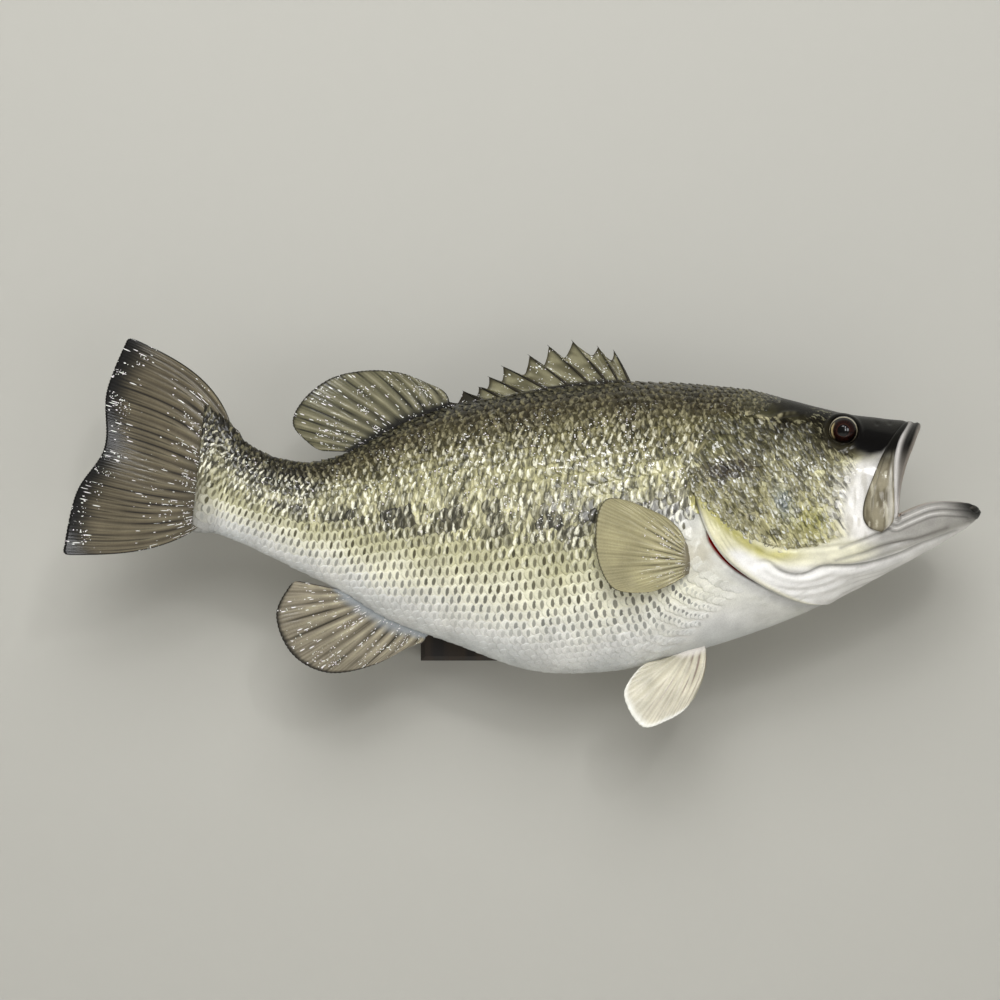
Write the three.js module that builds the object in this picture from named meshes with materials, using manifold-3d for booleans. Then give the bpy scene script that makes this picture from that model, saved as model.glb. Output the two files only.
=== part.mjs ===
// A largemouth bass mounted for a wall, at life size, as a museum shows it.
// Millimetres, +Z up. The wall is the plane Y = 0 and the fish stands out from it towards -Y,
// with its head towards +X and its right side in view. The origin is the middle of the face
// with which the back block meets the wall.
import * as THREE from 'three';
import { mergeVertices } from 'three/addons/utils/BufferGeometryUtils.js';
import Module from 'manifold-3d';

const wasm = await Module();
wasm.setup();

// Driving dimensions
const GAP = 0.3; // between pieces that touch
const STAND_OFF = 62; // from the wall to the middle plane of the body
const HEAD_SWING = 30; // how far the head curves out from the wall
const HEAD_SWING_FROM = 90; // where along the body that curve starts
const TAIL_SWING = 38; // how far the tail curves out from the wall
const TAIL_SWING_FROM = -20;
const SWING_LENGTH = 230; // over which each curve reaches its full swing
const SWING_POWER = 1.7;
const BODY_RINGS = 40; // along the body
const RING_POINTS = 20; // round it
const EYE = { x: 223, z: 79, side: 20.8, radius: 9.4 };
const BLOCK = { width: 76, height: 130, depth: 31, bevel: 3 };
const PLATE = { width: 46, height: 13, thickness: 2, z: 48 };
const MOUTH_RINGS = 12; // along the hollow of the mouth
const PLATE_RINGS = [12, 10]; // along the outer and inner faces of a head plate
const CORNER_REACH = 1.6; // how much further the corners of a grown outline move than its edges
const NEAR_Y = -260; // cuts right through the fish run from here
const FAR_Y = 60; // to here, behind the wall plane

// Body sections from the root of the tail to the tip of the lower jaw. Each holds the x and z
// of the back, the x and z of the belly, the half width, the height of the widest line from 0
// at the belly to 1 at the back, and how fast the width falls off above and below that line.
const SECTIONS = [
  [-153, 85.5, -173, 16.5, 4.5, 0.5, 1, 1],
  [-141, 71.5, -160, 15.5, 10, 0.5, 1, 1],
  [-123, 63.5, -139, 6.5, 13, 0.5, 1, 1],
  [-101, 61.5, -113, -6.5, 16, 0.52, 1, 1],
  [-78, 69, -86, -20, 22, 0.54, 1, 1.1],
  [-48, 85, -56, -38, 30, 0.55, 1, 1.1],
  [-12, 97, -15, -53, 38, 0.55, 1, 1.05],
  [37, 105.5, 32, -69, 44.5, 0.54, 1, 0.9],
  [87, 110.5, 80, -69.5, 47, 0.52, 1, 0.85],
  [130, 109.5, 121, -60.5, 47, 0.51, 1, 0.85],
  [164, 105.5, 161, -48.5, 45.5, 0.5, 1, 0.95],
  [192, 99, 195, -35.5, 43, 0.48, 0.85, 1],
  [220, 91.5, 222, -22.5, 41, 0.42, 0.7, 1],
  [247, 87.5, 249, -8, 39, 0.36, 0.9, 0.95],
  [269, 84, 274.5, 6.5, 35, 0.33, 1.3, 0.9],
  [286, 70, 294, 18, 22.5, 0.33, 1.2, 0.9],
  [297, 54, 304.6, 25.8, 8.5, 0.4, 1, 1],
];

// The hollow of the mouth, with the same columns: from well in front of the lips to the gullet.
const MOUTH_SECTIONS = [
  [312, 96, 318, 34, 26, 0.35, 1, 1],
  [292, 88, 299, 26.5, 19, 0.3, 1.1, 0.8],
  [270, 79.5, 276, 15, 29, 0.3, 1.2, 0.8],
  [248, 74, 250, 4, 33, 0.34, 1.1, 0.8],
  [222, 60, 223, -4, 30, 0.38, 1, 0.8],
  [196, 42, 196, 0, 20, 0.45, 1, 0.9],
  [178, 30, 178, 10, 8, 0.5, 1, 1],
];

// Side outlines, each as x and z
const LIP_LINE = [[266, 77], [260.5, 63], [256.5, 49], [255, 36], [254.5, 27]];
const JAW_RIM = [[260, 29.5], [271, 33], [284, 35], [296, 34.5], [302, 32], [306, 27]];
const JAW_TOP_LINE = [[177, 12], [200, 10], [228, 13], [244, 17.5], [254.5, 24]];
const THROAT_LINE = [[162, -5], [177, -1], [195, -7], [212, -2], [240, 0], [262, 5], [282, 12], [300, 18]];
const GILL_FOOT_LINE = [[162, -5], [180, -18], [202, -27], [222, -34]];
const NAPE_X = 150; // where the trunk meets the head above and under the gill covers
const STEM_LINE = [[-97, -90], [-93, -14], [-84, 67], [-82, 140]];
const MAXILLA = [
  [264, 83.5], [251, 71], [240, 49], [235, 30], [243, 18], [252, 20.5], [256, 34], [257, 54],
];
const GILL_COVER = [
  [177, 74], [160, 79.5], [146, 78.5], [135, 70], [131.5, 56], [135, 34],
  [144, 13], [155, 0], [163, -4], [175, 2], [175, 15], [171, 32], [171, 52],
];
const PLATE_LIFT = 1.3; // how far a gill cover or maxilla stands proud of the head
const PLATE_DEPTH = 3.5; // how far it reaches into it

/** Uniform Catmull-Rom value of a list of number rows at u from 0 to 1. */
function rowAt(rows, u) {
  const last = rows.length - 1;
  const at = Math.min(Math.max(u, 0), 1) * last;
  const i = Math.min(Math.floor(at), last - 1);
  const t = at - i;
  const before = rows[Math.max(i - 1, 0)];
  const after = rows[Math.min(i + 2, last)];
  return rows[i].map((b, column) => {
    const c = rows[i + 1][column];
    const pull = (c - before[column]) / 2;
    const push = (after[column] - b) / 2;
    return b + pull * t + (3 * (c - b) - 2 * pull - push) * t * t + (2 * (b - c) + pull + push) * t ** 3;
  });
}

/** Y of the body's middle plane at a place along the fish. */
function middleY(x) {
  const head = HEAD_SWING * Math.max(0, (x - HEAD_SWING_FROM) / SWING_LENGTH) ** SWING_POWER;
  const tail = TAIL_SWING * Math.max(0, (TAIL_SWING_FROM - x) / SWING_LENGTH) ** SWING_POWER;
  return -(STAND_OFF + head + tail);
}

/** A point at x and z on the fish, moved sideways off its curved middle plane; + is the wall side. */
function place(x, side, z) {
  const slope = middleY(x + 0.5) - middleY(x - 0.5);
  const turn = Math.atan(slope);
  return new THREE.Vector3(x - side * Math.sin(turn), middleY(x) + side * Math.cos(turn), z);
}

/** A closed mesh from a list of points and triangles. */
function meshGeometry(points, triangles) {
  const geometry = new THREE.BufferGeometry();
  geometry.setAttribute('position', new THREE.Float32BufferAttribute(points.flatMap((p) => p.toArray()), 3));
  geometry.setIndex(triangles);
  return geometry;
}

/** Rings of points closed into a skin, with a fan over each end. */
function loftGeometry(rings) {
  const count = rings[0].length;
  const points = rings.flat();
  const triangles = [];
  for (let r = 0; r < rings.length - 1; r += 1) {
    for (let i = 0; i < count; i += 1) {
      const a = r * count + i;
      const b = r * count + (i + 1) % count;
      triangles.push(a, b, a + count, b, b + count, a + count);
    }
  }
  for (const [ring, start] of [[rings[0], 0], [rings[rings.length - 1], (rings.length - 1) * count]]) {
    const middle = ring.reduce((sum, p) => sum.add(p), new THREE.Vector3()).divideScalar(count);
    const tip = points.push(middle) - 1;
    for (let i = 0; i < count; i += 1) {
      const a = start + i;
      const b = start + (i + 1) % count;
      triangles.push(...(start === 0 ? [tip, b, a] : [tip, a, b]));
    }
  }
  return meshGeometry(points, triangles);
}

/** One ring round a section row, grown outwards by an amount. */
function sectionRing(row, grow) {
  const [topX, topZ, bottomX, bottomZ, halfWidth, level, upper, lower] = row;
  const back = new THREE.Vector2(topX, topZ);
  const belly = new THREE.Vector2(bottomX, bottomZ);
  const along = back.clone().sub(belly).setLength(grow);
  back.add(along);
  belly.sub(along);
  const ring = [];
  for (let i = 0; i < RING_POINTS; i += 1) {
    const angle = 2 * Math.PI * (i + 0.5) / RING_POINTS;
    const rise = Math.sin(angle);
    const round = rise > 0 ? upper : lower;
    const height = rise > 0 ? level + (1 - level) * rise : level + level * rise;
    const side = (halfWidth + grow) * Math.sign(Math.cos(angle)) * Math.abs(Math.cos(angle)) ** round;
    const at = belly.clone().lerp(back, height);
    ring.push(place(at.x, side, at.y));
  }
  return ring;
}

/** The closed form through section rows, from u0 to u1 along them, grown by an amount. */
function sectionsLoft(rows, count, grow = 0, u0 = 0, u1 = 1) {
  const rings = [];
  for (let r = 0; r <= count; r += 1) rings.push(sectionRing(rowAt(rows, u0 + (u1 - u0) * r / count), grow));
  const ends = [[rings[0], -1], [rings[count], 1]].map(([ring, way]) => {
    return ring.map((p) => p.clone().add(new THREE.Vector3(way * grow, 0, 0)));
  });
  return solid(loftGeometry(grow > 0 ? [ends[0], ...rings, ends[1]] : rings));
}

/** A manifold solid from a closed geometry, turned the right way out. */
function solid(source) {
  const bare = source.clone();
  for (const name of ['normal', 'uv']) bare.deleteAttribute(name);
  const merged = mergeVertices(bare, 1e-4);
  const vertProperties = new Float32Array(merged.attributes.position.array);
  const triVerts = new Uint32Array(merged.index.array);
  if (enclosedVolume(vertProperties, triVerts) < 0) {
    triVerts.reverse();
  }
  return new wasm.Manifold(new wasm.Mesh({ numProp: 3, vertProperties, triVerts }));
}

/** Signed volume inside a triangle mesh. */
function enclosedVolume(positions, indices) {
  const corner = (i) => new THREE.Vector3().fromArray(positions, 3 * indices[i]);
  let sum = 0;
  for (let i = 0; i < indices.length; i += 3) sum += corner(i).dot(corner(i + 1).cross(corner(i + 2))) / 6;
  return sum;
}

/** A three.js geometry from a manifold solid. */
function geometryOf(manifold) {
  const mesh = manifold.getMesh();
  const geometry = new THREE.BufferGeometry();
  geometry.setAttribute('position', new THREE.BufferAttribute(mesh.vertProperties, 3));
  geometry.setIndex(new THREE.BufferAttribute(mesh.triVerts, 1));
  return geometry;
}

/** A prism over an outline of x and z, between two values of y. */
function prism(outline, nearY, farY) {
  const shape = new THREE.Shape(outline.map(([x, z]) => new THREE.Vector2(x, z)));
  const geometry = new THREE.ExtrudeGeometry(shape, { depth: farY - nearY, bevelEnabled: false });
  geometry.rotateX(Math.PI / 2);
  geometry.translate(0, farY, 0);
  return solid(geometry);
}

/** A prism right through the fish. */
const throughCut = (outline) => prism(outline, NEAR_Y, FAR_Y);

/** A smooth closed outline through the corners given, with the number of points asked for. */
function roundOutline(corners, count) {
  const curve = new THREE.CatmullRomCurve3(corners.map(([x, z]) => new THREE.Vector3(x, z, 0)), true);
  return curve.getPoints(count).slice(0, -1).map((p) => [p.x, p.y]);
}

/** An outline grown about its middle by roughly an amount. */
function grownOutline(outline, amount) {
  const middle = outline.reduce(([a, b], [x, z]) => [a + x / outline.length, b + z / outline.length], [0, 0]);
  return outline.map(([x, z]) => {
    const dx = x - middle[0];
    const dz = z - middle[1];
    const scale = 1 + CORNER_REACH * amount / Math.hypot(dx, dz);
    return [middle[0] + dx * scale, middle[1] + dz * scale];
  });
}

/** A list of outline points moved in x and z. */
const moved = (line, dx, dz) => line.map(([x, z, ...rest]) => [x + dx, z + dz, ...rest]);

/** A thin closed sheet: point(u, v, face) gives its two faces, face = -1 and 1. */
function sheetGeometry(across, out, point) {
  const points = [];
  const index = (face, i, j) => face * (across + 1) * (out + 1) + i * (out + 1) + j;
  for (const face of [-1, 1]) {
    for (let i = 0; i <= across; i += 1) {
      for (let j = 0; j <= out; j += 1) points.push(point(i / across, j / out, face));
    }
  }
  const triangles = [];
  const quad = (a, b, c, d) => triangles.push(a, b, c, a, c, d);
  for (let i = 0; i < across; i += 1) {
    for (let j = 0; j < out; j += 1) {
      quad(index(0, i, j), index(0, i + 1, j), index(0, i + 1, j + 1), index(0, i, j + 1));
      quad(index(1, i, j), index(1, i, j + 1), index(1, i + 1, j + 1), index(1, i + 1, j));
    }
    quad(index(0, i, 0), index(1, i, 0), index(1, i + 1, 0), index(0, i + 1, 0));
    quad(index(0, i, out), index(0, i + 1, out), index(1, i + 1, out), index(1, i, out));
  }
  for (let j = 0; j < out; j += 1) {
    quad(index(0, 0, j), index(0, 0, j + 1), index(1, 0, j + 1), index(1, 0, j));
    quad(index(0, across, j), index(1, across, j), index(1, across, j + 1), index(0, across, j + 1));
  }
  return meshGeometry(points, triangles);
}

/**
 * A fin: rays run from the root line to the edge line. Both lines are rows of x, z and side,
 * bows push the first and last ray outwards in x and z, and sink is how far the root reaches in.
 */
function finSolid(fin) {
  const { root, edge, bows = [0, 0], across, out, rootThick, edgeThick, sink } = fin;
  const point = (u, v, face) => {
    const start = rowAt(root, u);
    const end = rowAt(edge, u);
    const run = [end[0] - start[0], end[1] - start[1]];
    const length = Math.hypot(...run);
    const reach = v * (length + sink) / length - sink / length;
    const bow = (bows[0] * (1 - u) ** 2 + bows[1] * u ** 2) * Math.sin(Math.PI * Math.max(reach, 0));
    const x = start[0] + run[0] * reach - run[1] / length * bow;
    const z = start[1] + run[1] * reach + run[0] / length * bow;
    const side = start[2] + (end[2] - start[2]) * reach;
    const thick = rootThick + (edgeThick - rootThick) * v;
    return place(x, side + face * thick / 2, z);
  };
  return solid(sheetGeometry(across, out, point)).subtract(skinGap);
}

/** The same fin on the other side of the body. */
const otherSide = (rows) => rows.map(([x, z, side]) => [x, z, -side]);

const bodyWhole = sectionsLoft(SECTIONS, BODY_RINGS);
const skinGap = sectionsLoft(SECTIONS, BODY_RINGS, GAP);
const HEAD_FROM = 8.6 / (SECTIONS.length - 1); // where along the sections the gill covers start

/** The opening in front of the lips: between the lip line above and the rim of the jaw below. */
function gape() {
  return throughCut([[340, 130], [272, 130], [270.5, 84], ...LIP_LINE, ...JAW_RIM, [340, 20]]);
}

const mouth = sectionsLoft(MOUTH_SECTIONS, MOUTH_RINGS);
const flesh = bodyWhole.subtract(mouth).subtract(gape());

/** A plate of bone on one side of the head, with room round it when spare is more than nothing. */
function headPlate(outline, wallSide, spare = 0) {
  const outer = sectionsLoft(SECTIONS, PLATE_RINGS[0], PLATE_LIFT + spare, HEAD_FROM, 1);
  const inner = sectionsLoft(SECTIONS, PLATE_RINGS[1], -PLATE_DEPTH - spare, HEAD_FROM - 0.02, 1);
  const cut = grownOutline(outline, spare);
  const middle = middleY(cut[0][0]);
  const half = wallSide ? prism(cut, middle, FAR_Y) : prism(cut, NEAR_Y, middle);
  return outer.subtract(inner).intersect(half);
}

/** Gill covers and maxillae, and the same with room round them for cutting their seats. */
const gillOutline = roundOutline(GILL_COVER, 24);
const maxillaOutline = roundOutline(MAXILLA, 18);
const plateSeats = [false, true].flatMap((wallSide) => [
  headPlate(gillOutline, wallSide, GAP),
  headPlate(maxillaOutline, wallSide, GAP),
]);

/** Takes the seats of the plates out of a piece of flesh. */
const withSeats = (piece) => plateSeats.reduce((left, seat) => left.subtract(seat), piece);

/** A gill cover or maxilla, kept clear of the mouth and of the gape. */
const plate = (outline, wallSide) => headPlate(outline, wallSide).subtract(gape()).subtract(mouth);

/** An eyeball with spare room when its socket is cut. */
function eyeball(wallSide, spare = 0) {
  const ball = new THREE.SphereGeometry(EYE.radius + spare, 14, 10);
  const at = place(EYE.x, wallSide ? EYE.side : -EYE.side, EYE.z);
  ball.translate(at.x, at.y, at.z);
  return solid(ball);
}

/** The skull, snout, cheeks and the head's flesh back to the nape. */
function head() {
  const underside = [[162 + GAP, -5 + GAP], ...moved(JAW_TOP_LINE, 0, GAP), [255.5, 28.5], [340, 60]];
  const outline = [[NAPE_X, 140], [NAPE_X, 20], ...underside, [340, 140]];
  const piece = withSeats(flesh.intersect(throughCut(outline)));
  return piece.subtract(eyeball(false, GAP)).subtract(eyeball(true, GAP));
}

/** The lower jaw, from its hinge under the cheek to its tip. */
function lowerJaw() {
  const underside = moved(THROAT_LINE.slice(1), 0, GAP).reverse();
  const outline = [...JAW_TOP_LINE, [255.5 + GAP, 28.5], [340, 60], [340, 30], ...underside];
  return withSeats(flesh.intersect(throughCut(outline)));
}

/** The throat: the folded skin between the two halves of the lower jaw and under the gills. */
function throat() {
  const outline = [...THROAT_LINE, [300, -60], ...GILL_FOOT_LINE.slice(1).reverse()];
  return withSeats(flesh.intersect(throughCut(outline)));
}

/** The block of wood between the fish and the wall. */
function blockGeometry(spare = 0) {
  const { width, height, depth, bevel } = BLOCK;
  const halfWidth = width / 2 - bevel + spare;
  const halfHeight = height / 2 - bevel + spare;
  const shape = new THREE.Shape([
    new THREE.Vector2(-halfWidth, -halfHeight),
    new THREE.Vector2(halfWidth, -halfHeight),
    new THREE.Vector2(halfWidth, halfHeight),
    new THREE.Vector2(-halfWidth, halfHeight),
  ]);
  const bevels = { bevelThickness: bevel, bevelSize: bevel, bevelSegments: 1 };
  const geometry = new THREE.ExtrudeGeometry(shape, { depth: depth - 2 * bevel + spare, ...bevels });
  geometry.rotateX(Math.PI / 2);
  geometry.translate(0, -bevel, 0);
  return geometry;
}

/** The hanger plate, let in flush with the block's wall face. */
function plateGeometry(spare = 0) {
  const { width, height, thickness, z } = PLATE;
  const plateBox = new THREE.BoxGeometry(width + 2 * spare, thickness + 2 * spare, height + 2 * spare);
  plateBox.translate(0, -thickness / 2, z);
  return plateBox;
}

const blockSeat = solid(blockGeometry(GAP));

/** The body between the head and the tail stem. */
function trunk() {
  const front = [[NAPE_X - GAP, 140], [NAPE_X - GAP, 20], ...moved(GILL_FOOT_LINE, -GAP, -GAP), [222, -90]];
  return withSeats(flesh.intersect(throughCut([...front, ...STEM_LINE]))).subtract(blockSeat);
}

/** The narrow stem that carries the tail fin. */
function tailStem() {
  return flesh.intersect(throughCut([...moved(STEM_LINE, -GAP, 0), [-220, 140], [-220, -90]]));
}

// Fins. Rows of x, z and side for the root and for the edge, from the front ray to the rear one.
const SPINES = [
  // root x, root z, tip x, tip z, and the edge of the membrane behind the spine
  [92, 111.5, 82.5, 130.5, 80, 125.5],
  [85, 111.5, 72.5, 133, 68, 128.5],
  [77, 111.5, 56.5, 136.5, 51, 127],
  [66, 110.5, 41.5, 133.5, 38, 122],
  [54, 109, 29.5, 127.5, 26, 116.5],
  [41, 107, 13, 120.5, 12, 112],
  [27.5, 104, 4.5, 114, 3, 107.5],
  [15.5, 101.5, -1.5, 107.5, -4, 102.5],
  [3, 99, -11, 105, -16, 98],
];
const SPINE_RADIUS = { root: 1.1, tip: 0.4 };
const SPINE_SINK = [0.22, 5]; // how far a spine's foot goes on: by its own slope in x, and down in z
const MEMBRANE_REACH = 0.84; // how far up each spine its membrane is held
const SOFT_DORSAL = {
  root: [[-19, 97, 0], [-35, 91, 0], [-52, 83.5, 0], [-69, 74.5, 0], [-84, 67, 0]],
  edge: [
    [-22, 104, 0], [-42, 115, 0.5], [-67, 118, 1], [-92, 112.5, 1], [-109, 99, 1], [-115, 83, 1], [-100, 67.5, 0.5],
  ],
  bows: [2, 0],
  across: 16,
  out: 3,
  rootThick: 3.4,
  edgeThick: 0.9,
  sink: 9,
};
const CAUDAL = {
  root: [[-153, 84, 0], [-162, 70, 0], [-168, 50, 0], [-172, 32, 0], [-172, 18, 0]],
  edge: [[-213, 136.5, 1], [-225.5, 103, 2], [-227, 69, 2], [-243, 41.5, 2], [-251, 4, 1]],
  bows: [-9.5, 6.5],
  across: 18,
  out: 5,
  rootThick: 6,
  edgeThick: 0.9,
  sink: 9,
};
const ANAL = {
  root: [[-33.5, -47.5, 0], [-47.5, -41.5, 0], [-62, -33.5, 0], [-76, -26, 0], [-89, -17.5, 0]],
  edge: [[-41, -52, 0], [-66, -65, 0], [-94, -69.5, -1], [-116, -57.5, -1], [-125.5, -33, -1], [-115, -12, 0]],
  bows: [2, 0],
  across: 14,
  out: 3,
  rootThick: 3.4,
  edgeThick: 0.9,
  sink: 9,
};
const PECTORAL = {
  root: [[126, 12, -46], [126.5, 7, -46.5], [127, 2, -46.5], [126.5, -3, -46], [126, -8, -45]],
  edge: [[112, 28.5, -51], [76, 38, -54], [69, 10, -56], [79, -15, -55.5], [104, -18, -52.5]],
  bows: [-2, 1],
  across: 14,
  out: 4,
  rootThick: 4,
  edgeThick: 0.9,
  sink: 10,
};
const PELVIC = {
  root: [[139, -53, -11], [134, -55, -11.5], [129, -56, -12], [124, -57, -12], [119, -58, -11]],
  edge: [[127.5, -90.5, -18.5], [115, -97.5, -21], [99, -100.5, -23], [88, -81, -21], [100, -63, -16]],
  bows: [4, 0.5],
  across: 14,
  out: 4,
  rootThick: 4.4,
  edgeThick: 0.9,
  sink: 9,
};
const FAR_PELVIC_SHIFT = 4; // the pelvic fin on the wall side is set this much further forward

/** A tapered round rod between two points. */
function rod(from, to, rootRadius, tipRadius) {
  const geometry = new THREE.CylinderGeometry(tipRadius, rootRadius, from.distanceTo(to), 5, 1);
  const turn = new THREE.Quaternion().setFromUnitVectors(
    new THREE.Vector3(0, 1, 0),
    to.clone().sub(from).normalize(),
  );
  geometry.applyQuaternion(turn);
  const middle = from.clone().lerp(to, 0.5);
  geometry.translate(middle.x, middle.y, middle.z);
  return solid(geometry);
}

/** The front dorsal fin: a low saw-edged membrane held up by nine spines. */
function spinyDorsal() {
  const root = SPINES.flatMap(([x, z]) => [[x, z, 0], [x - 3, z - 1.5, 0]]);
  const edge = SPINES.flatMap(([x, z, tipX, tipZ, dipX, dipZ]) => [
    [x + (tipX - x) * MEMBRANE_REACH, z + (tipZ - z) * MEMBRANE_REACH, 0],
    [dipX, dipZ, 0],
  ]);
  const membrane = finSolid({
    root, edge, across: root.length - 1, out: 2, rootThick: 2.4, edgeThick: 0.8, sink: 8,
  });
  const spines = SPINES.map(([x, z, tipX, tipZ]) => {
    const foot = place(x + (x - tipX) * SPINE_SINK[0], 0, z - SPINE_SINK[1]);
    return rod(foot, place(tipX, 0, tipZ), SPINE_RADIUS.root, SPINE_RADIUS.tip);
  });
  return spines.reduce((fin, spine) => fin.add(spine.subtract(skinGap)), membrane);
}

const group = new THREE.Group();

/** Adds one named piece with its own finish. */
function add(name, manifold, color, roughness = 0.35, metalness = 0) {
  const material = new THREE.MeshStandardMaterial({ color, roughness, metalness });
  const mesh = new THREE.Mesh(geometryOf(manifold), material);
  mesh.name = name;
  group.add(mesh);
}

add('head', head(), '#6f6a3c');
add('lower_jaw', lowerJaw(), '#b9b9a6');
add('throat', throat(), '#dcdccb');
add('trunk', trunk(), '#a79a5c');
add('tail_stem', tailStem(), '#8f8a62');
for (const [name, wallSide] of [['right', false], ['left', true]]) {
  const mirror = (fin) => (wallSide ? { ...fin, root: otherSide(fin.root), edge: otherSide(fin.edge) } : fin);
  const pelvic = mirror(PELVIC);
  if (wallSide) pelvic.edge = moved(pelvic.edge, FAR_PELVIC_SHIFT, 0);
  add(`gill_cover_${name}`, plate(gillOutline, wallSide), '#8d8a4c');
  add(`maxilla_${name}`, plate(maxillaOutline, wallSide), '#9b9871');
  add(`eye_${name}`, eyeball(wallSide), '#3a1d12', 0.05);
  add(`pectoral_fin_${name}`, finSolid(mirror(PECTORAL)), '#a3935a');
  add(`pelvic_fin_${name}`, finSolid(pelvic), '#e6dcc2');
}
add('dorsal_fin_spiny', spinyDorsal(), '#54523a');
add('dorsal_fin_soft', finSolid(SOFT_DORSAL), '#5d5f4c');
add('caudal_fin', finSolid(CAUDAL), '#5b5038');
add('anal_fin', finSolid(ANAL), '#6b5d4a');
add('back_block', solid(blockGeometry()).subtract(solid(plateGeometry(GAP))), '#1d1a18', 0.7);
add('hanger_plate', solid(plateGeometry()), '#b8b8b8', 0.3, 1);

export default group;
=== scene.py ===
"""The looks of the mounted largemouth bass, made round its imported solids.

Shape functions work in millimetres in the fish's own plane: x along the fish towards the head,
z up, and side, the distance off its curved middle plane, negative on the side in view. Angles on
the body run from -90 degrees at the belly to 90 degrees at the back. Meshes are made in metres.
"""
import math

import bpy
import numpy as np
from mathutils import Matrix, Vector


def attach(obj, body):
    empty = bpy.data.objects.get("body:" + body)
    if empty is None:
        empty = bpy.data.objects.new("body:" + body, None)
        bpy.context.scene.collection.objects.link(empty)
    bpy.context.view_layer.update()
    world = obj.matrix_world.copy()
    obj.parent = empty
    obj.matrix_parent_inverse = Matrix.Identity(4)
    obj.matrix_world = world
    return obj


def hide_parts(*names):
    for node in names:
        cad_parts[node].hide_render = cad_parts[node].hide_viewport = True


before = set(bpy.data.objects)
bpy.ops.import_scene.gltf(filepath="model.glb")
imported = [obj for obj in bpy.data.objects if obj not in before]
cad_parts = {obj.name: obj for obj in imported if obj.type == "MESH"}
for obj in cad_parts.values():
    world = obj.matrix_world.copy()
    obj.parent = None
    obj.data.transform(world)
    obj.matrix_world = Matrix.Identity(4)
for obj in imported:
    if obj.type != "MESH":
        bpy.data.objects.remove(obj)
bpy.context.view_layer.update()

MM = 0.001
NEAR, FAR = -1, 1  # the side in view and the wall side
STAND_OFF = 62
HEAD_SWING, HEAD_SWING_FROM = 30, 90
TAIL_SWING, TAIL_SWING_FROM = 38, -20
SWING_LENGTH, SWING_POWER = 230, 1.7
COAT = 0.9  # how far the skin lies inside the tips of the scales

# Body sections from the scaled foot of the tail fin to the tip of the lower jaw: x and z of the back,
# x and z of the belly, half width, height of the widest line, and fall-off above and below that line.
SECTIONS = np.array([
    [-168, 98, -176.5, 17.2, 3.4, 0.5, 1, 1],
    [-153, 85.5, -168, 16.2, 6.2, 0.5, 1, 1],
    [-141, 71.5, -160, 15.5, 10, 0.5, 1, 1],
    [-123, 63.5, -139, 6.5, 13, 0.5, 1, 1],
    [-101, 61.5, -113, -6.5, 16, 0.52, 1, 1],
    [-78, 69, -86, -20, 22, 0.54, 1, 1.1],
    [-48, 85, -56, -38, 30, 0.55, 1, 1.1],
    [-12, 97, -15, -53, 38, 0.55, 1, 1.05],
    [37, 105.5, 32, -69, 44.5, 0.54, 1, 0.9],
    [87, 110.5, 80, -69.5, 47, 0.52, 1, 0.85],
    [130, 109.5, 121, -60.5, 47, 0.51, 1, 0.85],
    [164, 105.5, 161, -48.5, 45.5, 0.5, 1, 0.95],
    [192, 99, 195, -35.5, 43, 0.48, 0.85, 1],
    [220, 91.5, 222, -22.5, 41, 0.42, 0.7, 1],
    [247, 87.5, 249, -8, 39, 0.36, 0.9, 0.95],
    [269, 84, 274.5, 6.5, 35, 0.33, 1.3, 0.9],
    [286, 70, 294, 18, 22.5, 0.33, 1.2, 0.9],
    [297, 54, 303, 24.3, 11, 0.4, 1, 1],
    [298.2, 47, 304.4, 27.6, 5, 0.4, 1, 1],
])
# The hollow of the mouth in the same columns, from the gullet to the lips.
MOUTH = np.array([
    [171, 21, 171, 19, 0.5, 0.5, 1, 1],
    [178, 30, 178, 10, 8, 0.5, 1, 1],
    [196, 42, 196, 0, 20, 0.45, 1, 0.9],
    [222, 60, 223, -4, 30, 0.38, 1, 0.8],
    [248, 74, 250, 4, 33, 0.34, 1.1, 0.8],
    [270, 79.5, 276, 15, 29, 0.3, 1.2, 0.8],
    [292, 88, 299, 26.5, 19, 0.3, 1.1, 0.8],
    [312, 96, 318, 34, 26, 0.35, 1, 1],
])
# Lines on the side of the head, as x and z.
GILL_EDGE = [
    [152, 106.5], [150, 97], [147, 86], [141, 76], [134, 66], [131, 54], [133, 38], [140, 19],
    [150, 4], [163, -7], [180, -17], [198, -24.5], [214, -26.2],
]
LIP_EDGE = [[268, 84], [266.5, 81], [264, 74], [260, 63], [256.5, 49], [255, 36], [254, 26]]
JAW_EDGE = [
    [254, 26], [259, 28.4], [266, 31.6], [273, 34.2], [281, 35.4], [289, 35.2], [296, 34.8], [301.5, 33.4],
    [304, 29.6],
]
JAW_FOLD = [
    [166, -2], [177, 0], [184, -4.7], [192.5, -7.6], [201, -7], [211, -2.7], [227, -2.5], [236, -1.5],
    [248, 1.6], [258, 5], [268, 10], [278, 14.2], [290, 19],
]
JAW_RIDGE = [[218, 1.5], [230, 4], [237, 6.1], [247, 9.7], [258, 12.3], [268, 14.5], [284, 20.5]]
JAW_FOOT = [[221, 8.5], [230, 11.5], [240, 15.2], [247, 18.6], [252, 20.7]]
CHEEK_FOOT = [[170, 13], [177, 9.6], [189.5, 7.6], [200, 8], [215, 9], [226, 11.5]]
PALE_FOOT = [[160, 11], [167, 7.9], [173, 5.6], [181.5, 2], [190, 0.3], [200, 0.8], [215, 2]]
CHEEK_ARC = [[150, 76.8], [157, 77.2], [162.5, 79], [170, 79], [176, 76], [178.5, 71], [178, 66], [176, 60]]
PREOPERCLE = [[176, 60], [174, 56], [174.4, 46], [175, 36], [176, 29], [179, 22], [187, 13]]
SUBOPERCLE = [[134.5, 56], [142.5, 46.7], [150.5, 41.5], [159, 36], [167, 29], [173, 24.5]]
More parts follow.
